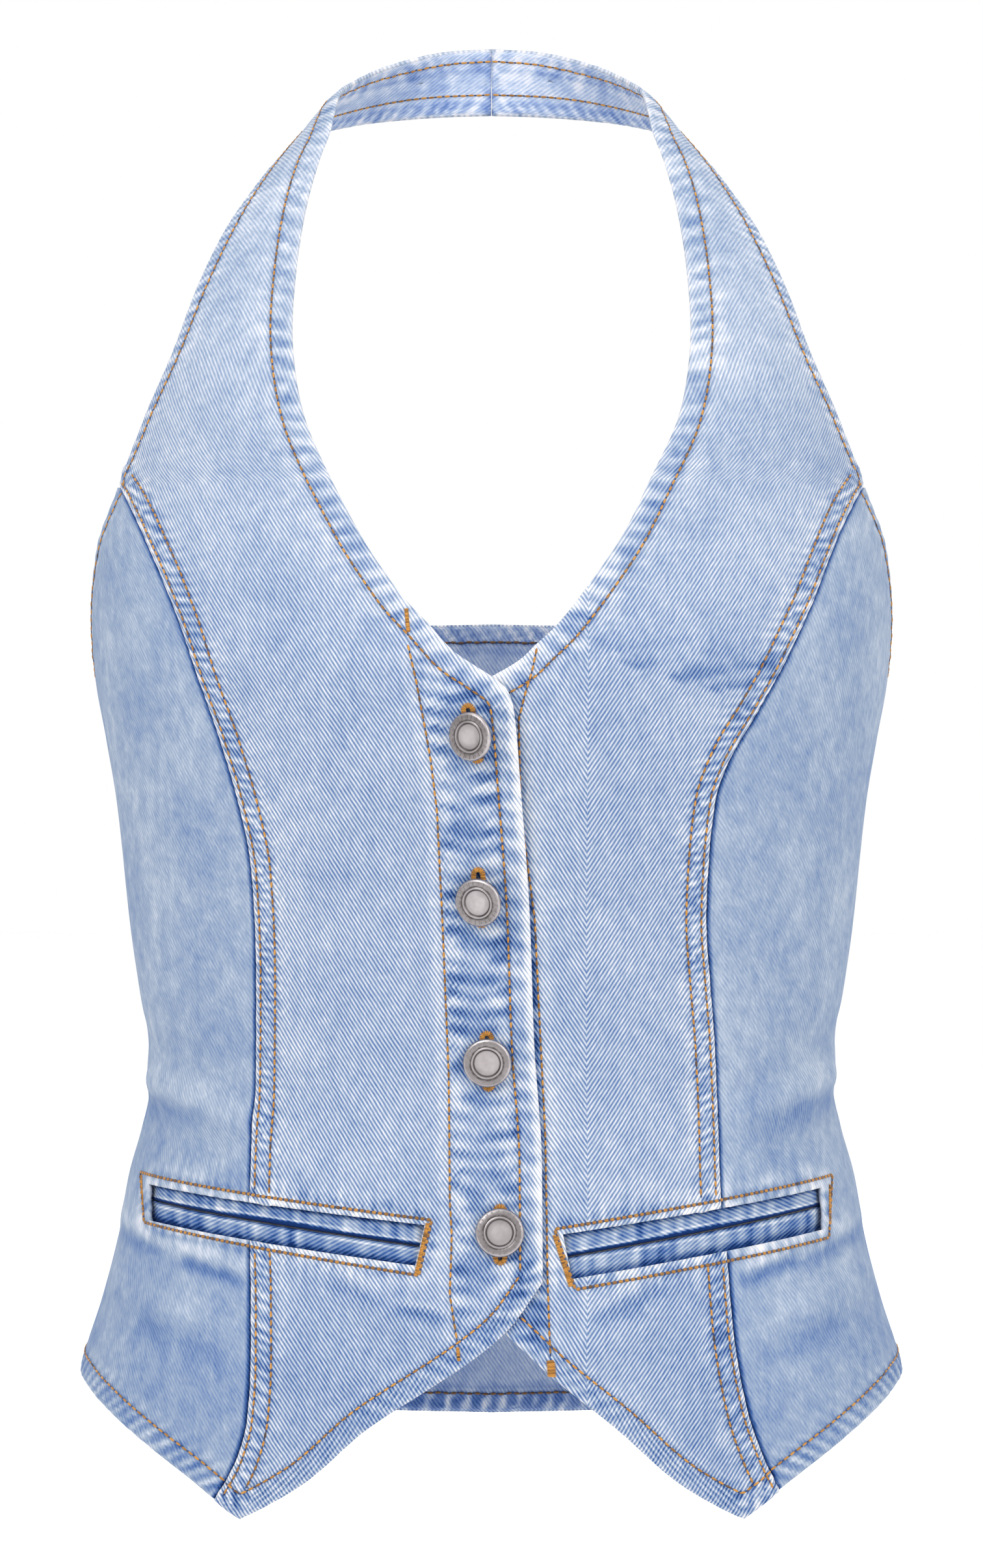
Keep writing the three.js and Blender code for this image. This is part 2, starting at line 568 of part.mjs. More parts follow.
// The shank stands square to the cloth, and the head tips on it until its rim clears the cloth.
function buttonGeometry(button) {
  const { foot, outward, leaned, cloth } = buttonFrame(button);
  const { radius, shank, tack, tackThick, thick, dish, dishDepth } = BUTTON;
  const under = cloth + GAP + radius * Math.sin(radians(button.lean));
  const lathe = (profile) => {
    const outline = profile.map(([out, height]) => new THREE.Vector2(out, height));
    return new THREE.LatheGeometry(outline, BUTTON_SIDES);
  };
  const stem = lathe([
    [0, -GAP - tackThick], [tack, -GAP - tackThick], [tack, -GAP], [shank, -GAP],
    [shank, under + thick / 3], [0, under + thick / 3],
  ]);
  const head = lathe([
    [0, 0], [radius * 0.72, 0], [radius * 0.97, thick * 0.25], [radius, thick * 0.5],
    [radius * 0.95, thick * 0.8], [dish * 1.2, thick], [dish, thick - dishDepth], [0, thick - dishDepth],
  ]);
  const top = foot.clone().addScaledVector(outward, under);
  return toGeometry(toSolid(placeAlong(stem, foot, outward)).add(toSolid(placeAlong(head, top, leaned))));
}

function eyeletCutter(button) {
  const { foot, outward } = buttonFrame(button);
  const hole = new THREE.CylinderGeometry(EYELET, EYELET, HOLE_DEPTH, 16);
  return toSolid(placeAlong(hole, foot, outward));
}

function buttonholeCutter(button) {
  const { foot } = buttonFrame(button);
  const slot = new THREE.BoxGeometry(BUTTONHOLE.width, HOLE_DEPTH, BUTTONHOLE.length);
  slot.translate(foot.x, foot.y, foot.z);
  return toSolid(slot);
}

const finishes = {
  denim: new THREE.MeshStandardMaterial({ color: 0x9db9dc, roughness: 0.9, metalness: 0 }),
  pocketing: new THREE.MeshStandardMaterial({ color: 0xe9e4d8, roughness: 0.95, metalness: 0 }),
  metal: new THREE.MeshStandardMaterial({ color: 0xc4bcb6, roughness: 0.35, metalness: 1 }),
};

const group = new THREE.Group();

function addPiece(name, geometry, finish) {
  const mesh = new THREE.Mesh(geometry, finishes[finish]);
  mesh.name = name;
  group.add(mesh);
}

const windows = Object.fromEntries(POCKETS.map((pocket) => [pocket.side, windowCutter(pocket)]));
const eyelets = BUTTONS.map(eyeletCutter);
const holes = { right: [...eyelets, ...BUTTONS.map(buttonholeCutter)], left: eyelets };

for (const [name, side] of Object.entries(sides)) {
  addPiece(`front_${name}`, cut(centrePanel(side), [windows[name], ...holes[name]]), 'denim');
  addPiece(`side_front_${name}`, cut(sidePanel(side), [windows[name]]), 'denim');
}
addPiece('back', backPanel(), 'denim');
for (const pocket of POCKETS) {
  const { upper, lower } = welts(pocket);
  addPiece(`welt_upper_${pocket.side}`, upper, 'denim');
  addPiece(`welt_lower_${pocket.side}`, lower, 'denim');
  addPiece(`pocket_bag_${pocket.side}`, pocketBag(pocket), 'pocketing');
}
BUTTONS.forEach((button, i) => addPiece(`button_${i + 1}`, buttonGeometry(button), 'metal'));

export default group;
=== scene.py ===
"""Halter-neck waistcoat in light-wash denim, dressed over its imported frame.

Sizes are in millimetres, with +Z up and the wearer facing -Y, and turn to metres as a mesh is
made. The wearer's right front lies at -X and laps over the left front.
"""

import logging
import math
from dataclasses import dataclass, field
from enum import Enum

import bmesh
import bpy
import numpy as np
from bmesh.types import BMesh, BMFace
from bpy.types import Material, Node, NodeSocket, NodeTree, Object
from mathutils import Matrix, Vector
from mathutils.bvhtree import BVHTree
from mathutils.kdtree import KDTree
from numpy import ndarray


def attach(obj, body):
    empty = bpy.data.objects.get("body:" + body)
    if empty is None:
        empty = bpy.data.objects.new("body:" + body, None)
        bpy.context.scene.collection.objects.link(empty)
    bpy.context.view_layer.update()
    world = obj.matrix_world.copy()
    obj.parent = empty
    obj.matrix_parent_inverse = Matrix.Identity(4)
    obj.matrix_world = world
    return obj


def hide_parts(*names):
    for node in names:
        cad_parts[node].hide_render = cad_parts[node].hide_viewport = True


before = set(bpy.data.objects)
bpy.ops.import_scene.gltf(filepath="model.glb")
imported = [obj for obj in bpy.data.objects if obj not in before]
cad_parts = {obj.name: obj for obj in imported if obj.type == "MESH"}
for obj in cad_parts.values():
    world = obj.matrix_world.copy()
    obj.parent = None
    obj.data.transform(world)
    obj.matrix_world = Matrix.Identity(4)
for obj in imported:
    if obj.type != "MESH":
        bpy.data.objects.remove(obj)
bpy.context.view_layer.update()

LOG = logging.getLogger("waistcoat")
MM = 0.001
CLOTH = 1.6
SEAM_GAP = 0.3


class Side(Enum):
    """Which front a piece belongs to, by the wearer's hand, with the sign of its x."""

    RIGHT = -1
    LEFT = 1


class Wale(Enum):
    """Which way the twill's ridges lean as they rise, seen from outside."""

    TO_LEFT = 1
    TO_RIGHT = -1


def unit(vectors: ndarray) -> ndarray:
    """Scale vectors to a length of one."""
    return vectors / np.maximum(np.linalg.norm(vectors, axis=-1, keepdims=True), 1e-12)


def smoothstep(value: ndarray, low: float, high: float) -> ndarray:
    """Rise smoothly from 0 at low to 1 at high."""
    t = np.clip((value - low) / (high - low), 0, 1)
    return t * t * (3 - 2 * t)


def hump(value: ndarray, centre: float, width: float) -> ndarray:
    """A soft bump of height one round a centre."""
    return np.exp(-(((value - centre) / width) ** 2))


def path_lengths(points: ndarray) -> ndarray:
    """Distance along a path up to each of its points."""
    steps = np.linalg.norm(np.diff(points, axis=0), axis=1)
    return np.concatenate([[0.0], np.cumsum(steps)])


def down_columns(places: ndarray) -> ndarray:
    """Distance down each column of a grid, measured over the cloth from its first row."""
    steps = np.linalg.norm(np.diff(places, axis=0), axis=2)
    return np.concatenate([np.zeros((1, places.shape[1])), np.cumsum(steps, axis=0)])


def across_rows(places: ndarray) -> ndarray:
    """Distance along each row of a grid, measured over the cloth from its first column."""
    return down_columns(places.swapaxes(0, 1)).T


def resampled(points: ndarray, step: float) -> ndarray:
    """Even points along a path.

    Args:
        points: The path, one row a point.
        step: Distance between the new points.

    Returns:
        The new points, both ends included.
    """
    along = path_lengths(points)
    count = max(int(round(along[-1] / step)), 1) + 1
    at = np.linspace(0, along[-1], count)
    return np.stack([np.interp(at, along, points[:, k]) for k in range(points.shape[1])], axis=1)


class SmoothCurve:
    """A curve through table rows that never swings past them."""

    def __init__(self, rows: list[tuple[float, float]]) -> None:
        """Sort the rows and find the slope at each.

        Args:
            rows: Pairs of place and value.
        """
        ordered = np.array(sorted(rows), float)
        self.at, self.value = ordered[:, 0], ordered[:, 1]
        step = np.diff(self.value) / np.diff(self.at)
        before, after = step[:-1], step[1:]
        same = before * after > 0
        self.slope = np.concatenate([[step[0]], np.zeros(len(before)), [step[-1]]])
        self.slope[1:-1][same] = 2 * before[same] * after[same] / (before[same] + after[same])

    def __call__(self, where: ndarray) -> ndarray:
        """Values at the given places, held at the table's ends."""
        place = np.clip(where, self.at[0], self.at[-1])
        i = np.clip(np.searchsorted(self.at, place, side="right") - 1, 0, len(self.at) - 2)
        width = self.at[i + 1] - self.at[i]
        t = (place - self.at[i]) / width
        return (
            (2 * t**3 - 3 * t**2 + 1) * self.value[i]
            + (t**3 - 2 * t**2 + t) * width * self.slope[i]
            + (3 * t**2 - 2 * t**3) * self.value[i + 1]
            + (t**3 - t**2) * width * self.slope[i + 1]
        )


class Ripple:
    """Uneven waves along a line, as sewing draws cloth into puckers."""

    def __init__(self, seed: int, wave: float) -> None:
        """Draw the waves' unevenness.

        Args:
            seed: Seed of the draw.
            wave: Mean distance between two crests.
        """
        draw = np.random.default_rng(seed)
        self.wave = wave
        self.drift = draw.normal(0, 1.0, 400)
        self.swell = draw.uniform(0.25, 1.0, 400)
        self.twin = draw.uniform(-1, 1, 400)

    def __call__(self, along: ndarray) -> ndarray:
        """Wave height, from -1 to 1, at distances along the line."""
        knot = np.mod(along / self.wave, 399)
        at = np.arange(400)
        phase = 2 * math.pi * along / self.wave + 1.3 * np.interp(knot * 0.45, at, self.drift)
        small = np.sin(2.6 * phase + 2.0 * np.interp(knot, at, self.twin))
        return np.interp(knot * 0.8, at, self.swell) * (0.8 * np.sin(phase) + 0.25 * small)


class Patches:
    """Soft uneven patches over the flat cloth, as washing leaves them."""

    def __init__(self, seed: int, size: tuple[float, float]) -> None:
        """Draw the patches.

        Args:
            seed: Seed of the draw.
            size: Width and height of a patch.
        """
        self.table = np.random.default_rng(seed).uniform(-1, 1, (97, 97))
        self.size = np.array(size, float)

    def __call__(self, flat: ndarray) -> ndarray:
        """Strength, from -1 to 1, at places on the flat cloth."""
        at = flat / self.size
        low = np.floor(at).astype(int)
        u, v = np.moveaxis((at - low) ** 2 * (3 - 2 * (at - low)), -1, 0)
        i, j = np.moveaxis(low % 96, -1, 0)
        t = self.table
        near, far = (t[i, j + k] * (1 - u) + t[i + 1, j + k] * u for k in (0, 1))
        return near * (1 - v) + far * v


@dataclass
class Body:
    """The worn shape that the cloth of the body follows, inside face and folds included.

    Attributes:
        side_y: Depth of the middle of the rings.
        round_degree: Distance round the body for one degree, for the folds.
        rings: Level, half width, front, back and squareness of the outside at each level.
        folds: Start degree and level, end degree and level, half width and rise of each fold.
        half, front, back, square: Smooth curves through the rings' columns.
    """

    side_y: float = -95
    round_degree: float = 2.3
    rings: tuple = (
        (-150, 146, -168, 18, 2.4), (-175, 151.3, -184, 20, 2.4), (-200, 158.4, -200, 20, 2.35),
        (-225, 160.4, -213, 19, 2.3), (-250, 158.9, -220, 16, 2.25), (-275, 154.6, -218, 12, 2.2),
        (-300, 150.4, -213, 7, 2.2), (-350, 145.0, -202, -3, 2.15), (-400, 138.2, -195, -9, 2.15),
        (-414, 137.3, -194, -9.5, 2.15), (-430, 140.1, -194.5, -8, 2.15),
        (-450, 145.6, -196.5, -4, 2.2), (-475, 150.0, -200, 3, 2.2), (-500, 156.5, -204, 9, 2.25),
        (-522, 163.4, -207, 13, 2.25), (-545, 167.5, -208, 15, 2.25), (-580, 171.0, -208, 16, 2.25),
    )
    folds: tuple = (
        (-80, -411, -52, -424, 7, 2), (-80, -428, -58, -438, 7, -1.6),
        (-88, -393, -66, -399, 8, -1.2), (80, -409, 54, -421, 7, 2), (80, -425, 60, -436, 7, -1.6),
        (88, -391, 68, -396, 8, -1.2), (-24, -494, -12, -503, 7, 1.8), (30, -500, 14, -512, 8, 1.8),
        (-78, -486, -60, -500, 8, 2), (78, -486, 60, -498, 8, 2), (112, -404, 150, -412, 7, 2.2),
        (248, -402, 214, -413, 7, 2.2), (165, -425, 195, -422, 8, -2),
    )
    half: SmoothCurve = field(init=False)
    front: SmoothCurve = field(init=False)
    back: SmoothCurve = field(init=False)
    square: SmoothCurve = field(init=False)

    def __post_init__(self) -> None:
        """Run a smooth curve through each column of the rings."""
        self.half, self.front, self.back, self.square = (
            SmoothCurve([(row[0], row[k]) for row in self.rings]) for k in range(1, 5)
        )

    def fold_rise(self, deg: ndarray, z: ndarray) -> ndarray:
        """How far the folds lift the cloth.

        Args:
            deg: Degrees round from the centre front.
            z: Levels.

        Returns:
            Rise at each place.
        """
        turn = np.where(deg < -130, deg + 360, deg)
        rise = np.zeros(np.broadcast(deg, z).shape)
        for from_deg, from_z, to_deg, to_z, wide, height in self.folds:
            across = (to_deg - from_deg) * self.round_degree
            down = to_z - from_z
            px, pz = (turn - from_deg) * self.round_degree, z - from_z
            held = np.clip((px * across + pz * down) / (across**2 + down**2), 0, 1)
            away = np.hypot(px - held * across, pz - held * down)
            rise += height * np.exp(-((away / wide) ** 2))
        return rise

    def point(self, deg: ndarray, z: ndarray) -> ndarray:
        """Places on the inside of the cloth.

        Args:
            deg: Degrees round from the centre front.
            z: Levels.

        Returns:
            Places, the last axis x, y and z.
        """
        sine, cosine = np.sin(np.radians(deg)), np.cos(np.radians(deg))
        depth = np.where(cosine > 0, self.side_y - self.front(z), self.back(z) - self.side_y)
        n = self.square(z)
        out = (np.abs(sine / self.half(z)) ** n + np.abs(cosine / depth) ** n) ** (-1 / n)
        out = out - CLOTH + self.fold_rise(deg, z)
        return np.stack([out * sine, self.side_y - out * cosine, z + 0 * out], axis=-1)

    def outward(self, deg: ndarray, z: ndarray) -> ndarray:
        """Unit directions square to the cloth, away from the body."""
        around = self.point(deg + 0.5, z) - self.point(deg - 0.5, z)
        upward = self.point(deg, z + 1) - self.point(deg, z - 1)
        normal = unit(np.cross(around, upward))
        spoke = self.point(deg, z) - np.array([0, self.side_y, 0])
        spoke[..., 2] = 0
        return normal * np.sign(np.sum(normal * spoke, axis=-1, keepdims=True))

    def offset(self, deg: ndarray, z: ndarray, lift: ndarray) -> ndarray:
        """Places a given distance outside the inner face of the cloth."""
        return self.point(deg, z) + self.outward(deg, z) * np.asarray(lift)[..., None]

    def degree_at(self, x: ndarray, z: ndarray) -> ndarray:
        """Degrees round from the centre front where the body has this x."""
        n = self.square(z)
        share = np.minimum(np.abs(x) / self.half(z), 1)
        forward = (self.side_y - self.front(z)) * (1 - share**n) ** (1 / n)
        return np.degrees(np.arctan2(x, forward))

    def from_front(self, x: ndarray, z: ndarray, lift: float = CLOTH) -> ndarray:
        """Places on the front that have this x and z, at a lift above the inner face."""
        x, z = np.asarray(x, float), np.asarray(z, float)
        return self.offset(self.degree_at(x, z), z, np.full(x.shape, lift))


@dataclass
class Armhole:
    """Armhole edge of a side panel and the side seam under it."""

    side_seam: float = 97
    tip_z: float = -176
    side_hem: float = -526
    rows: tuple = (
        (-176, 80.9), (-185, 81.8), (-200, 84.2), (-215, 85.8), (-230, 87.6), (-240, 90),
        (-247, 93.4), (-250, 97), (-580, 97),
    )


@dataclass
class FrontPattern:
    """Edges and seams of one front, as x at each level.

    Attributes:
        side: Which front it is.
        edge: Neckline running on into the front edge.
        princess: Seam between the centre and the side panel.
        hem: Hem from the front edge out to the point.
        laps: Whether this front lies over the other.
        outer_hem: Hem from the point back towards the side seam.
        point_x, point_z: The hem's point.
    """

    body: Body
    side: Side
    edge: tuple
    princess: tuple
    hem: tuple
    laps: bool
    outer_hem: tuple = (
        (98, -577), (103.8, -573), (116, -563.5), (130, -554), (143, -545), (154.6, -536.5),
        (162, -530.5),
    )
    point_x: float = 98
    point_z: float = -577
    armhole: Armhole = field(default_factory=Armhole)

    def __post_init__(self) -> None:
        """Run smooth curves through the edges."""
        sign, body = self.side.value, self.body
        self.edge_x = SmoothCurve(list(self.edge))
        self.princess_x = SmoothCurve(list(self.princess))
        self.armhole_deg = SmoothCurve(list(self.armhole.rows))
        inner = [(abs(float(body.degree_at(x, z))) * np.sign(sign * x), z) for x, z in self.hem]
        outer = [(float(body.degree_at(x, z)), z) for x, z in self.outer_hem]
        self.inner_hem = SmoothCurve(inner)
        self.rear_hem = SmoothCurve([*outer, (self.armhole.side_seam, self.armhole.side_hem)])
        self.point_deg = float(body.degree_at(self.point_x, self.point_z))

    def hem_z(self, deg: ndarray) -> ndarray:
        """Level of the hem at these degrees."""
        turned = self.side.value * deg
        return np.where(turned < self.point_deg, self.inner_hem(turned), self.rear_hem(turned))

    def half_gap(self, deg: ndarray, z: ndarray) -> ndarray:
        """Half the gap at a seam, in degrees."""
        place = self.body.point(deg, z)
        return np.degrees(SEAM_GAP / 2 / np.hypot(place[..., 0], place[..., 1] - self.body.side_y))

    def centre_degrees(self, share: ndarray, z: ndarray) -> ndarray:
        """Degrees of a place on the centre panel, by its share of the way to the princess seam."""
        edge = self.body.degree_at(self.edge_x(z), z)
        seam = self.body.degree_at(self.princess_x(z), z)
        return edge + (seam - self.side.value * self.half_gap(seam, z) - edge) * share

    def side_degrees(self, share: ndarray, z: ndarray) -> ndarray:
        """Degrees of a place on the side panel, by its share of the way to the side seam."""
        seam = self.body.degree_at(self.princess_x(z), z)
        outer = self.side.value * self.armhole_deg(z)
        start = seam + self.side.value * self.half_gap(seam, z)
        return start + (outer - self.side.value * self.half_gap(outer, z) - start) * share


@dataclass
class Lap:
    """Where the upper front climbs over the edge of the lower one, and rolls at the neckline."""

    under: FrontPattern
    rise: float = CLOTH + SEAM_GAP
    before: float = 15
    climb: float = 12
    roll: float = 2.5
    roll_wide: float = 30
    roll_top: float = -285
    roll_end: float = -345

    def rise_at(self, x: ndarray, z: ndarray) -> ndarray:
        """Height of the upper front above the body at these places."""
        start = self.under.edge_x(z) - self.before
        roll = smoothstep(z, self.roll_end, self.roll_top) * self.roll
        over = x - start
        return self.rise * smoothstep(over, 0, self.climb) + roll * smoothstep(
            over, self.climb, self.climb + self.roll_wide
        )


@dataclass
class Strap:
    """Halter strap from the centre back of the neck down to the bust.

    Attributes:
        stations: Neckline edge x, y, z, armhole edge x, y, z, and how far the middle stands
            proud of the line between them, on the outer face.
        join_step: How far under the tip the strap's curves are led into the body.
    """

    stations: tuple = (
        (0, CLOTH, 13.9, 0, CLOTH, -14.1, 0.5), (21, -3, 12, 24, 1, -15, 0.8),
        (43, -19, 4.7, 50, -6, -18, 1), (55, -38, -3, 67, -21, -22.5, 1.5),
        (61.8, -57, -10.5, 77, -41, -28, 2), (63.6, -70, -19.5, 83.5, -59, -35.5, 2),
        (65.4, -81, -30, 90.8, -76, -45, 2), (69.2, -91.5, -42, 97.8, -90, -56, 2.5),
        (73.8, -108, -62, 106.3, -105, -70.5, 3), (77.4, -130, -91, 117, -121, -95, 4),
        (78, -150, -121, 126.5, -130, -122, 6.5), (73, -166, -149.8, 138.4, -128, -149.5, 10.5),
    )
    join_step: float = 14

    def places(self, pattern: FrontPattern, lap: Lap | None, turn: ndarray,
               share: ndarray) -> ndarray:
        """Places on the strap's outer face.

        Args:
            pattern: The front that the strap belongs to.
            lap: The lap, where this front lies over the other.
            turn: Place along the strap, counted in stations.
            share: Share of the way from the neckline edge to the armhole edge.

        Returns:
            Places, the last axis x, y and z.
        """
        table = np.array(self.stations, float)
        neck, arm, crown = table[:, 0:3], table[:, 3:6], table[:, 6]
        middle = neck + arm
        ahead, behind = (np.concatenate(pair) for pair in (
            (middle[1:], middle[-1:]), (middle[:1], middle[:-1])))
        along = ahead - behind
        proud = unit(np.cross(along, arm - neck)) * crown[:, None]
        s = share.reshape(-1, 1)
        mirror = np.array([pattern.side.value, 1, 1])
        knots = [
            (n * (1 - s) + a * s + p * 4 * s * (1 - s)) * mirror
            for n, a, p in zip(neck, arm, proud)
        ]
        for level in (pattern.armhole.tip_z, pattern.armhole.tip_z - self.join_step):
            flat_share = share.reshape(-1)
            knots.append(centre_places(pattern, lap, flat_share, np.full(flat_share.shape, level)))
        knots = [2 * knots[0] - knots[1], *knots, 2 * knots[-1] - knots[-2]]
        knots = np.stack(knots)
        t = turn.reshape(-1)
        first = np.clip(np.floor(t).astype(int), 0, len(knots) - 4)
        pick = np.arange(len(t))
        p0, p1, p2, p3 = (knots[first + k, pick] for k in range(4))
        d0, d1, d2 = (
            np.maximum(np.linalg.norm(b - a, axis=1, keepdims=True) ** 0.5, 1e-4)
            for a, b in ((p0, p1), (p1, p2), (p2, p3))
        )
        leave = ((p1 - p0) / d0 - (p2 - p0) / (d0 + d1) + (p2 - p1) / d1) * d1
        arrive = ((p2 - p1) / d1 - (p3 - p1) / (d1 + d2) + (p3 - p2) / d2) * d1
        w = (t - first)[:, None]
        place = (
            p1 + leave * w + (3 * (p2 - p1) - 2 * leave - arrive) * w**2
            + (2 * (p1 - p2) + leave + arrive) * w**3
        )
        return place.reshape(*share.shape, 3)


def centre_places(pattern: FrontPattern, lap: Lap | None, share: ndarray,
                  z: ndarray) -> ndarray:
    """Places on the outer face of a centre panel's body.

    Args:
        pattern: The front.
        lap: The lap, where this front lies over the other.
        share: Share of the way from the front edge to the princess seam.
        z: Levels.

    Returns:
        Places, the last axis x, y and z.
    """
    deg = pattern.centre_degrees(share, z)
    lift = np.full(deg.shape, CLOTH)
    if lap is not None:
        lift = lift + lap.rise_at(pattern.body.point(deg, z)[..., 0], z)
    return pattern.body.offset(deg, z, lift)


@dataclass
class Spacing:
    """Distances between a grid's lines, which crowd towards a turned edge."""

    fine: tuple = (0, 0.35, 0.85, 1.6, 2.5, 3.5, 4.6, 5.8, 7.0, 7.9, 8.7, 9.5, 10.6, 12.0)

    def at(self, index: ndarray, count: int, length: ndarray, near: bool,
           far: bool) -> ndarray:
        """Distance of grid lines from the first one.

        Args:
            index: Which line, from 0.
            count: How many lines there are.
            length: Distance from the first line to the last.
            near: Whether the lines crowd towards the first.
            far: Whether they crowd towards the last.

        Returns:
            The distances.
        """
        fine = np.array(self.fine)
        turns = np.arange(len(fine))
        scale = np.minimum(1, 0.45 * length / fine[-1])
        first, last = (len(fine) - 1) * near, count - 1 - (len(fine) - 1) * far
        start, end = fine[-1] * scale * near, length - fine[-1] * scale * far
        place = start + (end - start) * (index - first) / (last - first)
        if near:
            place = np.where(index < first, np.interp(index, turns, fine) * scale, place)
        if far:
            rest = np.interp(count - 1 - index, turns, fine) * scale
            place = np.where(index > last, length - rest, place)
        return place


@dataclass
class Band:
    """A sewn line on a panel, such as a turned hem, a felled seam or a row of topstitching.

    Attributes:
        line: Places along it.
        rows: How far in from it each row of stitches runs.
        inner_rows: The same on the inside of the cloth, where it differs.
        rise: How far the layers turned under it lift the face.
        pucker: Height of the puckers that the sewing draws up.
        round_over: How far the face drops where the cloth is folded over, or 0 in mid panel.
        thick: Extra thickness of the layers on the inside.
        seed: Seed of its puckers.
        wave: Distance from one pucker to the next.
        lean: How far the puckers slant, as a share of the distance in from the line.
        ink: How strongly the wash whitens the crests and leaves the valleys blue.
        spread: How far the puckers run on past the last row.
        whiten: How far the fold itself is worn white.
        worn: Width of that worn line.
        blotch: Strength of the blotchy wash beside it.
        halo: How much the wash fades the strip just past the last row.
        narrow: Height of the wave where a crest turns white, so how narrow the white is.
        fold: Where a painted shadow line marks the edge of the turned-in layer, or 0 where it
            doesn't show.
        away, along: How far each place lies from the line, and where along it.
    """

    line: ndarray
    rows: tuple = (8.7,)
    inner_rows: tuple | None = None
    rise: float = 0.3
    pucker: float = 0.24
    round_over: float = 0.6
    thick: float = 0.5
    seed: int = 1
    wave: float = 7.2
    lean: float = 0.7
    ink: float = 1.0
    spread: float = 3.5
    whiten: float = 0.6
    worn: float = 0.9
    blotch: float = 0.05
    halo: float = 0.07
    narrow: float = 0.14
    fold: float = 0
    away: ndarray = field(init=False, default=None)
    along: ndarray = field(init=False, default=None)

    def measure(self, places: ndarray) -> None:
        """Find how far each place lies from the line, and where along it."""
        fine = resampled(self.line, 0.5)
        along = path_lengths(fine)
        tree = KDTree(len(fine))
        for k, point in enumerate(fine):
            tree.insert(point, k)
        tree.balance()
        found = [tree.find(p)[1:] for p in places.reshape(-1, 3)]
        self.away = np.array([d for _, d in found]).reshape(places.shape[:2])
        self.along = along[np.array([k for k, _ in found])].reshape(places.shape[:2])

    @property
    def reach(self) -> float:
        """Width of the sewn band."""
        return max(self.rows)

    @property
    def wave_at(self) -> ndarray:
        """Phase of the puckers at each place, from -1 to 1."""
        return np.tanh(1.7 * Ripple(self.seed, self.wave)(self.along + self.lean * self.away))

    @property
    def drawn_up(self) -> ndarray:
        """How far the sewing draws the cloth up at each place, most inside the stitches."""
        inside = 0.5 + 0.5 * hump(self.away, 0.6 * self.reach, 0.4 * self.reach + 0.5)
        past = np.exp(-np.maximum(self.away - self.reach, 0) / self.spread)
        return np.where(self.away < self.reach, inside, 0.6 * past)

    def ripples(self) -> ndarray:
        """Height of the puckers at each place, from -1 to 1."""
        return self.wave_at * self.drawn_up

    def streaks(self) -> ndarray:
        """How white the puckers' crests are at each place: narrow, with broad blue between."""
        white = 1.1 * (self.wave_at - self.narrow) / (1 - self.narrow)
        return self.ink * np.clip(white, -0.8, 1.0) * self.drawn_up

    def relief(self) -> ndarray:
        """How far the band lifts the outer face at each place."""
        edge = self.reach + 0.9
        lifted = self.rise * (1 - smoothstep(self.away, edge - 1.0, edge + 0.6))
        dips = sum(0.22 * hump(self.away, row, 0.8) for row in self.rows)
        rolled = self.round_over * np.clip(1 - self.away / 1.3, 0, 1) ** 2
        return lifted + self.pucker * self.ripples() - dips - rolled

    def wear(self) -> ndarray:
        """How white the fold is worn at each place, in broken stretches."""
        ragged = 0.35 + 0.65 * np.clip(Ripple(self.seed + 7, 11.0)(self.along) + 0.45, 0, 1)
        return self.whiten * ragged * np.exp(-self.away / self.worn)

    def wash(self, grain: ndarray) -> ndarray:
        """How much bluer the cloth is left beside the sewing, by flat place."""
        near = np.exp(-((self.away / (self.reach + 9)) ** 2))
        rough = Patches(self.seed + 3, (9, 7))(grain) + 0.6 * Patches(self.seed + 4, (4, 5))(grain)
        halo = self.halo * hump(self.away, self.reach + 3.2, 2.4)
        return self.blotch * near * rough - halo * (0.7 + 0.4 * self.ripples())


@dataclass
class Crease:
    """A short crease in the cloth, seen from the front.

    Attributes:
        line: Its x and z from end to end.
        wide: Half its width.
        rise: How far the cloth stands up beside it, on its upper side.
        shade: How much painted shade darkens its valley; its crest gets a painted highlight a
            little over half as strong.
    """

    line: tuple
    wide: float = 3
    rise: float = 0.5
    shade: float = 0.2

    def over(self, panel: "Panel") -> tuple[ndarray, ndarray]:
        """Lift, and painted shade and highlight, that the crease gives each place of a panel."""
        across, level = panel.places[..., 0], panel.places[..., 2]
        (x0, z0), (x1, z1) = self.line
        length = math.hypot(x1 - x0, z1 - z0)
        ux, uz = (x1 - x0) / length, (z1 - z0) / length
        along = ((across - x0) * ux + (level - z0) * uz) / length
        off = (level - z0) * ux - (across - x0) * uz
        off = off * (1 if ux > 0 else -1)
        fade = smoothstep(along, -0.25, 0.3) * (1 - smoothstep(along, 0.7, 1.25))
        fade = fade * (panel.places[..., 1] < -95)
        valley = hump(off, 0, 0.7 * self.wide) * fade
        crest = hump(off, self.wide, self.wide) * fade
        # Painted shade in the valley and a painted highlight on the crest.
        return self.rise * (crest - 0.6 * valley), self.shade * (valley - 0.55 * crest)


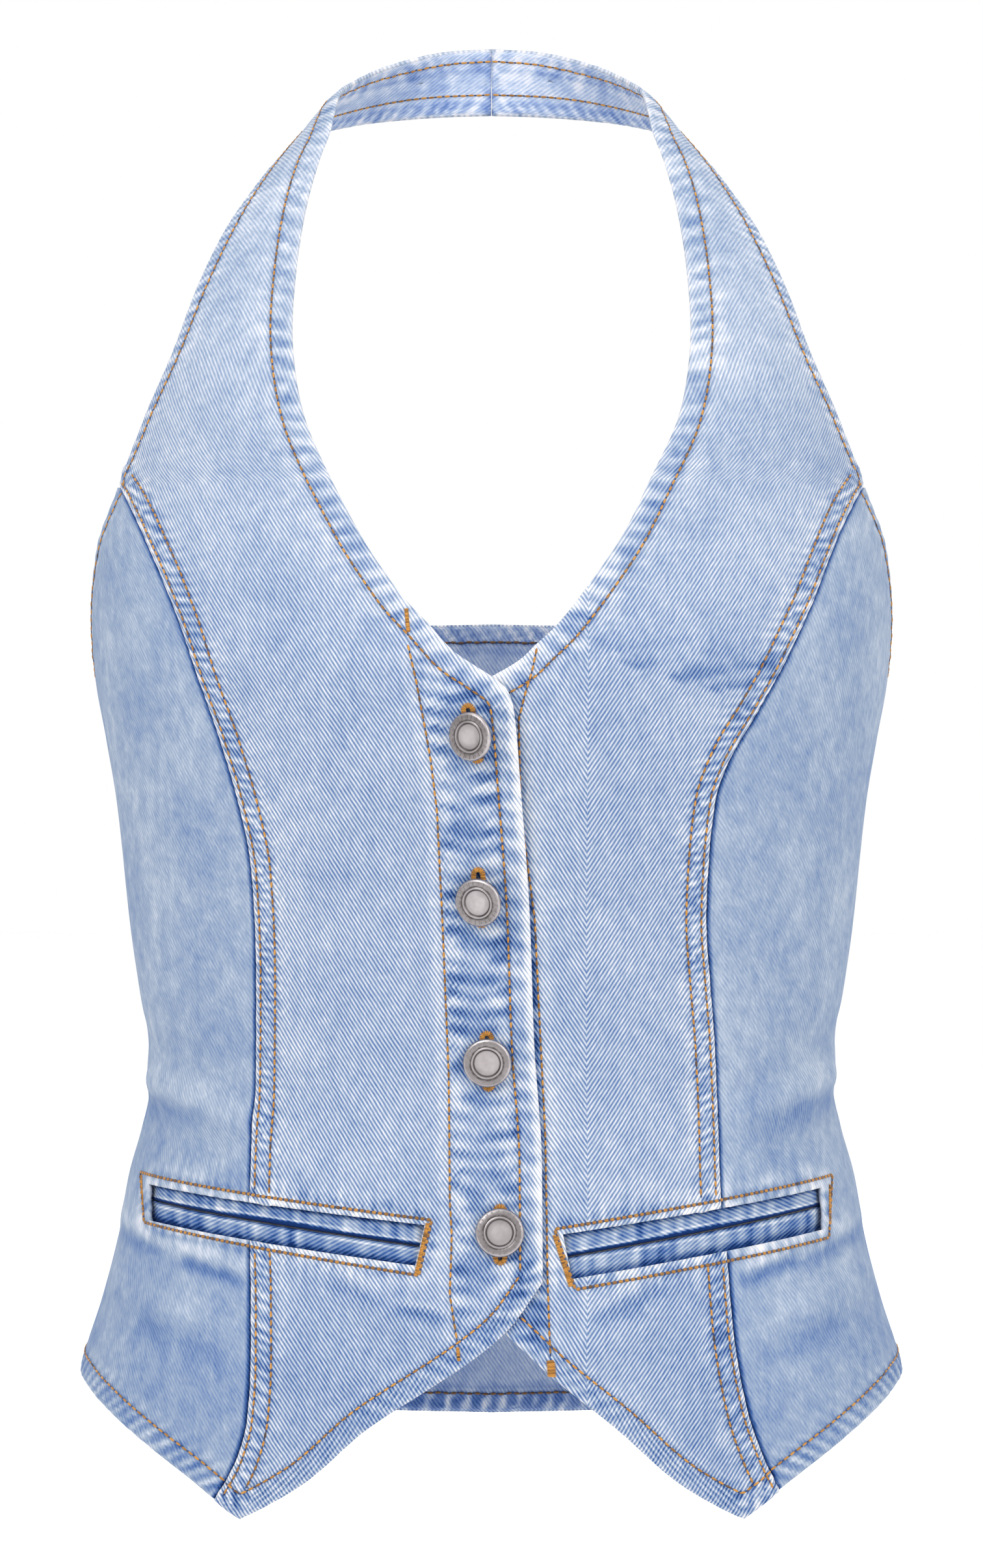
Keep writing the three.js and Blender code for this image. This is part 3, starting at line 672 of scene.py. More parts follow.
@dataclass
class Placket:
    """The buttoned strip down a front, faced on the inside and sewn down along its inner edge.

    Attributes:
        stitch: Its inner row of stitches, as x and z from the top down.
        bars: Thread bars that close it, each both ends' x and z and the bar's width.
        seed: Seed of its puckers.
        blue: How much bluer the strip is than the cloth beside it.
    """

    stitch: tuple
    bars: tuple
    seed: int
    blue: float = 0.12

    def over(self, panel: "Panel") -> tuple[ndarray, ndarray]:
        """Lift and colour that the strip gives each place of a panel."""
        across, level = panel.places[..., 0], panel.places[..., 2]
        from_edge = panel.bands["front"].away
        line = SmoothCurve([(z, x) for x, z in self.stitch])
        edge = panel.places[:, :1, 0]
        inward = (across - line(level)) * np.sign(edge - line(level[:, :1]))
        # The strip ends at its last stitch, and fades out where the neckline turns in.
        ends = smoothstep(level, self.stitch[-1][1] - 6, self.stitch[-1][1] + 6)
        ends = ends * (1 - smoothstep(level, -252, -232))
        within = smoothstep(inward, -0.8, 1.2) * smoothstep(from_edge, 6.5, 9.5) * ends
        # Puckers slant one way by its inner row of stitches and the other way by the edge.
        by_edge = smoothstep(inward, 8, 17)
        slant = Ripple(self.seed, 6.6)(level + 0.22 * across) * (1 - by_edge)
        slant = slant + Ripple(self.seed + 2, 6.9)(level - 0.18 * across) * by_edge
        spots = Patches(self.seed + 1, (7.5, 4.6))(np.stack([across + 0.4 * level, level], -1))
        blot = np.tanh(1.8 * (0.8 * slant + 0.7 * spots) + 0.15)
        by_rows = np.maximum(hump(inward, 3.5, 4), hump(from_edge, 13, 5))
        strong = 0.4 + 0.6 * by_rows
        lift = 0.3 * within * blot * strong - 0.25 * hump(inward, 0, 0.9) * ends
        # A pale line runs outside the inner row, and the strip is less blue near the hem.
        streak = hump(inward, -2.6, 2.4) * (0.6 + 0.4 * np.clip(slant, -1, 1)) * ends
        blue = self.blue * (1 - 0.7 * smoothstep(-level, 420, 480))
        # The fold at the edge is worn pale and given a painted highlight, almost white, all the way
        # down.
        rubbed = hump(from_edge, 1.0, 2.0) * ends
        tone = within * (blue - 0.34 * strong * blot) - 0.17 * streak - 0.27 * rubbed
        return lift, tone


@dataclass
class Panel:
    """A cut piece of cloth as a grid of places on its outer face.

    Attributes:
        name: Name of the CAD node that it stands for.
        places: Rows and columns of places.
        grain: Place of each on the flat cloth, across and up.
        bands: Its sewn lines.
        sunk: Lines where a neighbour lies over it, along which the cloth is sunk and given a
            painted shadow.
        marks: Creases and plackets on it.
        faces_out: Whether its rows and columns turn so that the normals point outwards.
        wall: Thickness of the thickest cloth on it.
        holes: Holes cut through it.
        bare: Outlines, as x and z, inside which no row of stitches runs.
        painted: Names of the values that colour the cloth from place to place.
        inside: Places on the inside of the cloth.
        tree: The outer face, to lay lines on.
    """

    name: str
    places: ndarray
    grain: ndarray
    bands: dict[str, Band] = field(default_factory=dict)
    sunk: dict[str, ndarray] = field(default_factory=dict)
    marks: list = field(default_factory=list)
    faces_out: bool = True
    wall: float = 2.2
    holes: list = field(default_factory=list)
    bare: list = field(default_factory=list)
    painted: tuple = ("ripple", "wear", "ditch", "tone", "crisp")
    inside: ndarray = field(init=False, default=None)
    tree: BVHTree = field(init=False, default=None)

    def normals(self) -> ndarray:
        """Unit directions out of the face at each place."""
        across = np.gradient(self.places, axis=1)
        down = np.gradient(self.places, axis=0)
        normal = unit(np.cross(across, down))
        return normal if self.faces_out else -normal

    def turn_outward(self, outward: ndarray, rows: slice = slice(None)) -> None:
        """Settle which side is the face, from the outward directions on some of the rows."""
        self.faces_out = float((self.normals()[rows] * outward).sum()) > 0

    def shape(self) -> None:
        """Lift the face by its sewn lines, and find the inside."""
        normal = self.normals()
        lift = np.zeros(self.places.shape[:2])
        share = np.full(lift.shape, CLOTH / self.wall)
        self.ripple, self.wear, self.ditch, self.tone = (np.zeros(lift.shape) for _ in range(4))
        level = self.places[..., 2]
        # The cloth over the shoulder was rubbed softer, so its ridges show less. Painted light: the
        # cloth is painted paler towards the shoulder and bluer towards the hip, as if lit from
        # above.
        self.crisp = 1 - 0.6 * smoothstep(level, -290, -60)
        lit_shoulders, shaded_hips = smoothstep(level, -260, -90), smoothstep(-level, 430, 510)
        self.tone += 0.05 * shaded_hips - 0.065 * lit_shoulders
        for label, band in self.bands.items():
            band.measure(self.places)
            lift += band.relief()
            inner = 1 - smoothstep(band.away, band.reach - 0.5, band.reach + 1.5)
            share = np.maximum(share, (CLOTH + band.thick * inner) / self.wall)
            if label != "princess":
                share *= 1 - 0.55 * np.clip(1 - band.away / 1.2, 0, 1) ** 1.5
            if band.round_over:
                self.wear = np.maximum(self.wear, band.wear())
            self.ripple += band.streaks()
            self.tone += band.wash(self.grain)
            # Painted shade darkens the groove that each row of stitches presses in.
            for row in band.rows:
                self.ditch = np.maximum(self.ditch, hump(band.away, row, 1.0))
            # A painted shadow line runs along the edge of the turned-in layer.
            if band.fold:
                self.ditch = np.maximum(self.ditch, 2.0 * hump(band.away, band.fold, 0.8))
        for label, line in self.sunk.items():
            # A felled seam throws a deeper shadow on its neighbour than a plain edge does.
            deep = 4.5 if label == "princess" else 1.7
            gap = Band(line)
            gap.measure(self.places)
            lift -= 0.55 * np.exp(-((gap.away / 2.2) ** 2))
            self.ditch = np.maximum(self.ditch, deep * hump(gap.away, 0, 1.1))
        for mark in self.marks:
            rise, tone = mark.over(self)
            lift += rise
            self.tone += tone
        self.share = np.clip(share, 0.2, 1)
        self.places = self.places + normal * lift[..., None]
        normal = self.normals()
        self.inside = self.places - normal * (self.share * self.wall)[..., None]
        rows, columns = lift.shape
        index = np.arange(rows * columns).reshape(rows, columns)
        quads = np.stack([index[:-1, :-1], index[:-1, 1:], index[1:, 1:], index[1:, :-1]], axis=-1)
        self.tree = BVHTree.FromPolygons(self.places.reshape(-1, 3).tolist(),
                                         quads.reshape(-1, 4).tolist())

    def row_of_stitches(self, name: str, away: float, inside: bool = False,
                        clear: tuple = ()) -> ndarray:
        """A line of places a set distance in from one of the panel's sewn edges.

        Args:
            name: The band whose edge it is.
            away: Distance in from the edge.
            inside: Whether the line lies on the inside face.
            clear: Names of other bands that it stays this far clear of.

        Returns:
            Places along it, each with its outward direction, as rows of six numbers.
        """
        band = self.bands[name]
        normal = self.normals() * (-1 if inside else 1)
        data = np.concatenate([self.inside if inside else self.places, normal], axis=-1)
        far = band.away
        keep = np.ones(far.shape, bool)
        for other in clear:
            keep &= self.bands[other].away >= away - 0.15
        by_rows = min(np.percentile(far[:, k], 10) for k in (0, -1)) < 0.5
        if not by_rows:
            far, data, keep = far.T, data.transpose(1, 0, 2), keep.T
        if far[:, 0].mean() > far[:, -1].mean():
            far, data, keep = far[:, ::-1], data[:, ::-1], keep[:, ::-1]
        points = []
        for distance, entry, clear_here in zip(far, data, keep):
            past = int(np.argmax(distance >= away))
            if past == 0 or not clear_here[past]:
                continue
            before = distance[past - 1]
            t = (away - before) / max(distance[past] - before, 1e-6)
            point = entry[past - 1] * (1 - t) + entry[past] * t
            if point[1] > -100 or not any(inside_of(shape, point[0], point[2])
                                          for shape in self.bare):
                points.append(point)
        return np.array(points)

    def mesh(self) -> Object:
        """Make the panel's object, with its holes cut and its wall given thickness.

        Returns:
            The object, at the origin.
        """
        rows, columns = self.places.shape[:2]
        bm = bmesh.new()
        bmesh.ops.create_grid(bm, x_segments=columns - 1, y_segments=rows - 1, size=1)
        bm.verts.ensure_lookup_table()
        group = bm.verts.layers.deform.verify()
        layers = {n: bm.verts.layers.float.new(n) for n in self.painted}
        values = {n: getattr(self, n).reshape(-1) for n in layers}
        share = self.share.reshape(-1)
        for k, place in enumerate(self.places.reshape(-1, 3) * MM):
            vert = bm.verts[k]
            vert.co = place
            vert[group][0] = share[k]
            for n, layer in layers.items():
                vert[layer] = values[n][k]
        flat = self.grain.reshape(-1, 2)
        uv = bm.loops.layers.uv.new("Cloth")
        for face in bm.faces:
            face.smooth = True
            for loop in face.loops:
                loop[uv].uv = flat[loop.vert.index]
        bm.normal_update()
        bm.faces.ensure_lookup_table()
        middle = bm.faces[(rows // 2) * (columns - 1) + columns // 2]
        if middle.normal.dot(Vector(self.normals()[rows // 2, columns // 2])) < 0:
            bmesh.ops.reverse_faces(bm, faces=bm.faces)
        for hole in self.holes:
            hole.cut(bm)
        obj = new_object(self.name, bm)
        obj.vertex_groups.new(name="wall")
        solid = obj.modifiers.new("wall", "SOLIDIFY")
        solid.thickness = self.wall * MM
        solid.offset = -1
        solid.vertex_group = "wall"
        solid.material_offset = 1
        return obj

    def cut_area(self) -> float:
        """Area of the flat cloth, in square metres."""
        g = self.grain
        a, b = g[1:, 1:] - g[:-1, :-1], g[1:, :-1] - g[:-1, 1:]
        return float(np.abs(a[..., 0] * b[..., 1] - a[..., 1] * b[..., 0]).sum() / 2 * MM * MM)

    def cut_size(self) -> tuple[float, float]:
        """Width and length of the flat cloth, in metres."""
        return tuple(float(np.ptp(self.grain[..., k]) * MM) for k in (0, 1))


def inside_of(corners: list[tuple[float, float]], x: float, z: float) -> bool:
    """Whether a place lies inside a convex outline.

    Args:
        corners: The outline's corners, in order.
        x: Place across.
        z: Level.

    Returns:
        True where it does.
    """
    turns = [
        (b[0] - a[0]) * (z - a[1]) - (b[1] - a[1]) * (x - a[0])
        for a, b in zip(corners, (*corners[1:], corners[0]))
    ]
    return all(t > 0 for t in turns) or all(t < 0 for t in turns)


def laid_line(panels: list[Panel], outline: tuple, step: float = 1.5) -> ndarray:
    """Lay a line, drawn from the front, on the outer face of the panels.

    Args:
        panels: The panels that it may lie on.
        outline: Its x and z.
        step: Distance between the places.

    Returns:
        Places along it, each with its outward direction, as rows of six numbers.
    """
    rows = []
    for x, z in resampled(np.array(outline, float), step):
        found = [p.tree.ray_cast(Vector((x, -400, z)), Vector((0, 1, 0)))[:2] for p in panels]
        found = [hit for hit in found if hit[0] is not None]
        if found:
            place, normal = min(found, key=lambda hit: hit[0].y)
            rows.append([*place, *(normal if normal.y < 0 else -normal)])
    return np.array(rows)


@dataclass
class Hole:
    """A straight-sided hole through a front, cut back along Y.

    Attributes:
        corners: Its corners as x and z, in order round it.
        behind: Faces behind this depth are left whole.
    """

    corners: list[tuple[float, float]]
    behind: float = -100

    def cut(self, bm: BMesh) -> None:
        """Cut the hole out of a mesh that has no thickness yet."""
        corners = np.array(self.corners, float)
        low, high = corners.min(0) - 4, corners.max(0) + 4

        def near(face: BMFace) -> bool:
            """Whether a face lies near the hole."""
            c = face.calc_center_median() / MM
            return low[0] < c.x < high[0] and low[1] < c.z < high[1] and c.y < self.behind

        for a, b in zip(corners, np.roll(corners, -1, axis=0)):
            faces = [f for f in bm.faces if near(f)]
            if not faces:
                return
            geom = list({g for f in faces for g in (f, *f.edges, *f.verts)})
            bmesh.ops.bisect_plane(
                bm, geom=geom, dist=1e-7, plane_co=Vector((a[0], 0, a[1])) * MM,
                plane_no=Vector((b[1] - a[1], 0, a[0] - b[0])).normalized(),
            )
        inner = []
        for face in (f for f in bm.faces if near(f)):
            c = face.calc_center_median() / MM
            if inside_of(self.corners, c.x, c.z):
                inner.append(face)
        bmesh.ops.delete(bm, geom=inner, context="FACES")


def new_object(name: str, bm: BMesh) -> Object:
    """Turn a bmesh into an object at the origin.

    Args:
        name: The object's name.
        bm: Its shape, which is freed.

    Returns:
        The object, linked to the scene.
    """
    mesh = bpy.data.meshes.new(name)
    bm.to_mesh(mesh)
    bm.free()
    obj = bpy.data.objects.new(name, mesh)
    bpy.context.scene.collection.objects.link(obj)
    return obj


def dress(obj: Object, materials: list[Material],
          nodes: tuple[str, ...] = ()) -> Object:
    """Give a piece its finish and its place in the part.

    Args:
        obj: The piece.
        materials: Its materials, in the order of its faces' numbers.
        nodes: CAD nodes that it stands for.

    Returns:
        The piece.
    """
    for material in materials:
        obj.data.materials.append(material)
    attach(obj, "root")
    if nodes:
        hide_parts(*nodes)
    LOG.info("%s made, %d faces", obj.name, len(obj.data.polygons))
    return obj


@dataclass
class Sewing:
    """Thread on the cloth, as short stitches that are joined into one piece.

    Attributes:
        name: The piece's name.
        pitch: Distance from one stitch to the next.
        length: Length of the thread that shows in one stitch.
        radius: Half the thread's width.
        rise: How far the middle of a stitch stands above the cloth.
        hole: Length of the dark blob, painted shade, that marks the needle hole between two
            stitches.
        gap: A row stops and starts again where its places are further apart than this.
        turns: Axes and middle of each stitch laid so far.
        dark: Share of the dark thread in each.
    """

    name: str
    pitch: float = 3.35
    length: float = 2.7
    radius: float = 0.46
    rise: float = 0.15
    hole: float = 1.4
    gap: float = 9
    turns: list = field(default_factory=list)
    dark: list = field(default_factory=list)

    def add(self, place: ndarray, along: ndarray, normal: ndarray, length: float,
            radius: float, dark: float = 0) -> None:
        """Lay stitches.

        Args:
            place: Middle of each.
            along: Direction of each.
            normal: Direction out of the cloth at each.
            length: Length of a stitch.
            radius: Half its width.
            dark: Share of the dark thread in its colour.
        """
        along = unit(along - normal * np.sum(along * normal, axis=1, keepdims=True))
        side = np.cross(normal, along)
        turn = np.stack([along * length / 2, side * radius, normal * radius * 0.8], axis=1)
        self.turns.append(np.concatenate([turn, (place + normal * self.rise)[:, None]], axis=1))
        self.dark.append(np.full(len(place), float(dark)))

    def row(self, path: ndarray, dark: float = 0, tight: float = 1, bold: float = 1) -> None:
        """Sew a row of stitches along a path.

        Args:
            path: Places along it, each with its outward direction.
            dark: Share of the dark thread in its colour.
            tight: Length of the stitches, as a share of the usual one.
            bold: Thickness of the thread, as a share of the usual one.
        """
        if len(path) < 2:
            return
        steps = np.linalg.norm(np.diff(path[:, :3], axis=0), axis=1)
        for part in np.split(path, np.flatnonzero(steps > self.gap) + 1):
            if len(part) < 3 or path_lengths(part[:, :3])[-1] < 2 * self.pitch:
                continue
            even = resampled(part, self.pitch * tight / 2)
            middle, knot = even[1:-1:2], even[2:-1:2]
            along = even[2::2, :3] - even[:-2:2, :3]
            count = min(len(middle), len(along))
            self.add(middle[:count, :3], along[:count], unit(middle[:count, 3:]),
                     self.length * tight, self.radius * bold, dark)
            # A small dark blob sunk at each needle hole paints the hole's shade.
            turn = np.gradient(knot[:, :3], axis=0) if len(knot) > 1 else knot[:, :3]
            normal = unit(knot[:, 3:])
            self.add(knot[:, :3] - 0.5 * self.rise * normal, turn, normal, self.hole,
                     0.8 * self.radius * bold, 2)

    def satin(self, path: ndarray, width: float, pitch: float = 0.62, dark: float = 0) -> None:
        """Sew close bars across a path, as a tack or a buttonhole has.

        Args:
            path: Places along it, each with its outward direction.
            width: Length of the bars.
            pitch: Distance between two bars.
            dark: Share of the dark thread in its colour.
        """
        even = resampled(path, pitch)
        along = unit(np.gradient(even[:, :3], axis=0))
        normal = unit(even[:, 3:])
        self.add(even[:, :3], np.cross(normal, along), normal, width, pitch * 0.62, dark)

    def make(self) -> Object:
        """Join the stitches into one object."""
        bm = bmesh.new()
        bmesh.ops.create_uvsphere(bm, u_segments=6, v_segments=4, radius=1)
        bmesh.ops.rotate(bm, verts=bm.verts, matrix=Matrix.Rotation(math.pi / 2, 3, "Y"))
        ball = np.array([v.co for v in bm.verts])
        faces = [[v.index for v in f.verts] for f in bm.faces]
        bm.free()
        turns = np.concatenate(self.turns)
        places = np.einsum("vk,nkc->nvc", ball, turns[:, :3]) + turns[:, 3][:, None]
        count, each = len(turns), len(ball)
        mesh = bpy.data.meshes.new(self.name)
        joined = [[k + each * n for k in face] for n in range(count) for face in faces]
        mesh.from_pydata((places.reshape(-1, 3) * MM).tolist(), [], joined)
        mesh.shade_smooth()
        draw = np.random.default_rng(11)
        for label, values in (
            ("lot", draw.uniform(0, 1, count)),
            ("dark", np.concatenate(self.dark)),
        ):
            layer = mesh.attributes.new(label, "FLOAT", "POINT")
            layer.data.foreach_set("value", np.repeat(values, each).astype(np.float32))
        obj = bpy.data.objects.new(self.name, mesh)
        bpy.context.scene.collection.objects.link(obj)
        return obj


def linear(hex_colour: str) -> tuple[float, float, float, float]:
    """Turn an sRGB hex colour into linear light.

    Args:
        hex_colour: Six hex digits after a hash.

    Returns:
        Red, green, blue and alpha.
    """
    parts = [int(hex_colour[k : k + 2], 16) / 255 for k in (1, 3, 5)]
    light = [p / 12.92 if p <= 0.04045 else ((p + 0.055) / 1.055) ** 2.4 for p in parts]
    return (*light, 1.0)


def add_node(tree: NodeTree, kind: str, inputs: dict | None = None,
             **settings: object) -> Node:
    """Add a node with its settings and links.

    Args:
        tree: The node tree.
        kind: The node's type.
        inputs: Value, or socket to link from, for each input's name or number.
        **settings: Values of the node's own properties.

    Returns:
        The node.
    """
    node = tree.nodes.new(kind)
    for name, value in settings.items():
        setattr(node, name, value)
    for name, value in (inputs or {}).items():
        if isinstance(value, NodeSocket):
            tree.links.new(value, node.inputs[name])
        else:
            node.inputs[name].default_value = value
    return node


def maths(tree: NodeTree, operation: str, *values: object) -> NodeSocket:
    """Result of a maths node over numbers or sockets."""
    return add_node(tree, "ShaderNodeMath", dict(enumerate(values)), operation=operation).outputs[0]


def kept(tree: NodeTree, name: str) -> NodeSocket:
    """A value that the mesh keeps at each of its points."""
    return add_node(tree, "ShaderNodeAttribute", attribute_name=name).outputs["Fac"]


def noise(tree: NodeTree, where: NodeSocket, scale: float,
          detail: float) -> NodeSocket:
    """Noise of a given scale at a place."""
    return add_node(tree, "ShaderNodeTexNoise",
                    {"Vector": where, "Scale": scale, "Detail": detail}).outputs["Fac"]


def mixed(tree: NodeTree, share: NodeSocket, first: object,
          second: object) -> NodeSocket:
    """Colour between two others, by the share of the second."""
    return add_node(tree, "ShaderNodeMix", {0: share, 6: first, 7: second},
                    data_type="RGBA").outputs[2]


def ramped(tree: NodeTree, source: NodeSocket,
           stops: list[tuple[float, str]]) -> NodeSocket:
    """Colour that runs through stops, in order, each a position and an sRGB hex colour."""
    node = add_node(tree, "ShaderNodeValToRGB", {0: source})
    elements = node.color_ramp.elements
    elements.remove(elements[1])
    elements[0].position, elements[0].color = stops[0][0], linear(stops[0][1])
    for position, colour in stops[1:]:
        elements.new(position).color = linear(colour)
    return node.outputs["Color"]


def give_surface(tree: NodeTree, height: NodeSocket, strength: float,
                 depth: float, inputs: dict) -> None:
    """End a material in a shader over a bump.

    Args:
        tree: The node tree.
        height: Height that the bump follows.
        strength: Strength of the bump.
        depth: Depth of the bump in metres.
        inputs: Value, or socket to link from, for each of the shader's inputs.
    """
    bump = add_node(tree, "ShaderNodeBump",
                    {"Strength": strength, "Distance": depth, "Height": height})
    shader = add_node(tree, "ShaderNodeBsdfPrincipled",
                      {**inputs, "Normal": bump.outputs["Normal"]})
    add_node(tree, "ShaderNodeOutputMaterial", {"Surface": shader.outputs[0]})


def new_material(name: str) -> tuple[Material, NodeTree]:
    """Make an empty node material.

    Args:
        name: The finish's name.

    Returns:
        The material and its node tree.
    """
    material = bpy.data.materials.new(name)
    material.use_nodes = True
    material.node_tree.nodes.clear()
    return material, material.node_tree


@dataclass(frozen=True)
class DenimFinish:
    """Light-wash cotton denim: a twill of blue warp and white weft, washed down and worn.

    The eye gets steep fine ridges, uneven yarns that run up the cloth, cloudy fading, and
    white crests with blue valleys where the sewing puckers it.

    Attributes:
        name: The material's name.
        wale: Which way the ridges lean.
        depth: How blue the cloth is on the whole, from 0 to 1.
        twill: How strongly the ridges stand out.
        yarns: How strongly single yarns stand out.
        clouds: How strongly the fading varies.
        ridge: Distance between two ridges, measured across, in millimetres.
        slope: Angle of the ridges above level.
        yarn: Width of one warp yarn.
        flip_at: Place across the cloth where the ridges turn to lean the other way.
        ramp: Colours from the whitest place to the bluest, evenly spaced.
    """

    name: str
    wale: Wale
    depth: float = 0.4
    twill: float = 0.5
    yarns: float = 0.13
    clouds: float = 0.2
    ridge: float = 1.65
    slope: float = 56
    yarn: float = 0.7
    flip_at: float | None = None
    ramp: tuple = ("#cecbcc", "#a8afbc", "#8391a5", "#5f7498", "#304f85", "#0f2b5c")

    def slanted(self, tree: NodeTree, cloth: NodeSocket) -> tuple:
        """Place across the ridges, and up the cloth.

        Args:
            tree: The node tree.
            cloth: Place on the flat cloth.

        Returns:
            Both, as sockets.
        """
        parts = add_node(tree, "ShaderNodeSeparateXYZ", {0: cloth}).outputs
        lean = self.wale.value / math.tan(math.radians(self.slope))
        slant = maths(tree, "MULTIPLY", parts[1], lean)
        if self.flip_at is not None:
            side = maths(tree, "GREATER_THAN", parts[0], self.flip_at)
            slant = maths(tree, "MULTIPLY", slant, maths(tree, "MULTIPLY_ADD", side, 2.0, -1.0))
        return maths(tree, "ADD", parts[0], slant), parts[1]

    def make(self) -> Material:
        """Build the material."""
        material, tree = new_material(self.name)
        cloth = add_node(tree, "ShaderNodeUVMap", uv_map="Cloth").outputs[0]
        across, up = self.slanted(tree, cloth)
        ridge_at = add_node(tree, "ShaderNodeCombineXYZ", {0: across, 1: up}).outputs[0]
        twill = add_node(
            tree, "ShaderNodeTexWave",
            {"Vector": ridge_at, "Scale": 2 * math.pi / 20 / self.ridge, "Distortion": 0.7,
             "Detail": 2.0, "Detail Scale": 0.7, "Detail Roughness": 0.5},
            wave_type="BANDS", bands_direction="X",
        ).outputs["Fac"]

        def patches(scale: tuple[float, float], detail: float,
                    at: NodeSocket = cloth) -> NodeSocket:
            """Noise over the flat cloth, by patches a millimetre across and up."""
            spread = add_node(tree, "ShaderNodeVectorMath", {0: at, 1: (*scale, 1)},
                              operation="MULTIPLY").outputs[0]
            return add_node(tree, "ShaderNodeTexNoise",
                            {"Vector": spread, "Scale": 1.0, "Detail": detail, "Roughness": 0.6},
                            noise_dimensions="2D").outputs["Fac"]

        # Warp yarns run up the cloth, thick and thin by turns.
        slub = patches((1 / self.yarn, 0.07 / self.yarn), 2.0)
        # White weft shows through in small broken dashes along the ridges.
        dash = patches((0.95, 0.3), 2.0, ridge_at)
        # The wash leaves clouds of fading, some a few centimetres across and some a few mm.
        cloud = patches((0.03, 0.022), 3.0)
        mottle = patches((0.16, 0.12), 2.0)
        ripple, wear, ditch, tone, crisp = (
            kept(tree, n) for n in ("ripple", "wear", "ditch", "tone", "crisp")
        )
        ridges = maths(tree, "MULTIPLY", maths(tree, "SUBTRACT", twill, 0.5), crisp)
        centred = ((slub, self.yarns), (dash, 2.2 * self.yarns), (cloud, self.clouds),
                   (mottle, 0.8 * self.clouds))
        level = self.depth - sum(weight for _, weight in centred) / 2
        # Besides wash and wear, the mesh's values paint shade into stitch grooves, fold edges,
        # seams, creases and the pocket slit, paint highlights on crease crests and the front fold,
        # and paint the cloth paler towards the shoulder and bluer towards the hip.
        for source, weight in (*centred, (ridges, -self.twill), (ripple, -0.22), (wear, -0.42),
                               (ditch, 0.13), (tone, 1.0)):
            level = maths(tree, "MULTIPLY_ADD", source, weight, level)
        last = len(self.ramp) - 1
        colour = ramped(tree, level, [(k / last, shade) for k, shade in enumerate(self.ramp)])
        give_surface(tree, maths(tree, "MULTIPLY_ADD", twill, 0.8, dash), 0.5, 0.22 * MM,
                     {"Base Color": colour, "Roughness": 0.92, "Specular IOR Level": 0.06,
                      "Sheen Weight": 0.02, "Sheen Roughness": 0.5})
        return material


@dataclass(frozen=True)
class ThreadFinish:
    """Spun polyester topstitching thread, tan orange, some stitches gone dark in the wash.

    The eye gets short plump stitches of uneven orange, with a needle hole between two that is
    painted dark as its shade.
    """

    name: str = "topstitch_thread"
    light: str = "#b17b30"
    mid: str = "#80561f"
    dark: str = "#3f2f27"
    # The needle hole's colour is painted shade.
    hole: str = "#2a3a5c"

    def make(self) -> Material:
        """Build the material."""
        material, tree = new_material(self.name)
        where = add_node(tree, "ShaderNodeTexCoord").outputs["Object"]
        # Two plies are twisted about three times in a stitch.
        ply = noise(tree, where, 1900.0, 1.0)
        # A few stitches in a hundred went dark in the wash, and the others differ a little.
        shade = ramped(tree, kept(tree, "lot"),
                       [(0.0, self.dark), (0.05, self.mid), (0.8, self.light)])
        dark = kept(tree, "dark")
        shade = mixed(tree, dark, shade, linear(self.dark))
        # The dark thread is 1 and a needle hole, painted in its shade, is 2.
        shade = mixed(tree, maths(tree, "GREATER_THAN", dark, 1.5), shade, linear(self.hole))
        give_surface(tree, ply, 0.6, 0.1 * MM,
                     {"Base Color": shade, "Roughness": 0.6, "Specular IOR Level": 0.3,
                      "Sheen Weight": 0.1})
        return material


@dataclass(frozen=True)
class NickelFinish:
    """Satin nickel plate on a pressed brass button: a warm grey metal, tumbled smooth.

    The eye gets soft grey crests, and painted shade in the pressed grooves, on the rim and round
    the back of the head, where the even white room gives no dark reflections.
    """

    name: str = "satin_nickel"
    bright: str = "#aea8a9"
    dull: str = "#989293"
    hollow_shade: str = "#4c4747"
    grit: float = 0.35

    def make(self) -> Material:
        """Build the material."""
        material, tree = new_material(self.name)
        where = add_node(tree, "ShaderNodeTexCoord").outputs["Object"]
        # Tumbling leaves a fine grit, and cloudy patches a few millimetres across.
        grain = noise(tree, where, 1 / (self.grit * MM), 2.0)
        cloud = noise(tree, where, 180.0, 3.0)
        metal = ramped(tree, cloud, [(0.3, self.dull), (0.62, self.bright)])
        # Painted shade darkens the pressed grooves, the rim and the back of the head.
        metal = mixed(tree, kept(tree, "recess"), metal, linear(self.hollow_shade))
        give_surface(tree, grain, 0.2, 0.04 * MM,
                     {"Base Color": metal, "Metallic": 1.0,
                      "Roughness": maths(tree, "MULTIPLY_ADD", cloud, -0.15, 0.42)})
        return material


@dataclass(frozen=True)
class PocketingFinish:
    """Plain-weave cotton pocketing, unbleached: a flat, dry, slightly slubby cloth."""

    name: str = "cotton_pocketing"
    light: str = "#efeadd"
    dark: str = "#d5cdba"
    thread: float = 0.9

    def make(self) -> Material:
        """Build the material, its weave drawn three times as coarse as real so that it shows."""
        material, tree = new_material(self.name)
        cloth = add_node(tree, "ShaderNodeUVMap", uv_map="Cloth").outputs[0]
        scale = 2 * math.pi / 20 / self.thread
        warp, weft = (
            add_node(tree, "ShaderNodeTexWave",
                     {"Vector": cloth, "Scale": scale, "Distortion": 1.0, "Detail": 1.0},
                     wave_type="BANDS", bands_direction=axis).outputs["Fac"]
            for axis in ("X", "Y")
        )
        weave = maths(tree, "MULTIPLY", warp, weft)
        colour = mixed(tree, weave, linear(self.dark), linear(self.light))
        give_surface(tree, weave, 0.4, 0.1 * MM,
                     {"Base Color": colour, "Roughness": 0.95, "Specular IOR Level": 0.15})
        return material


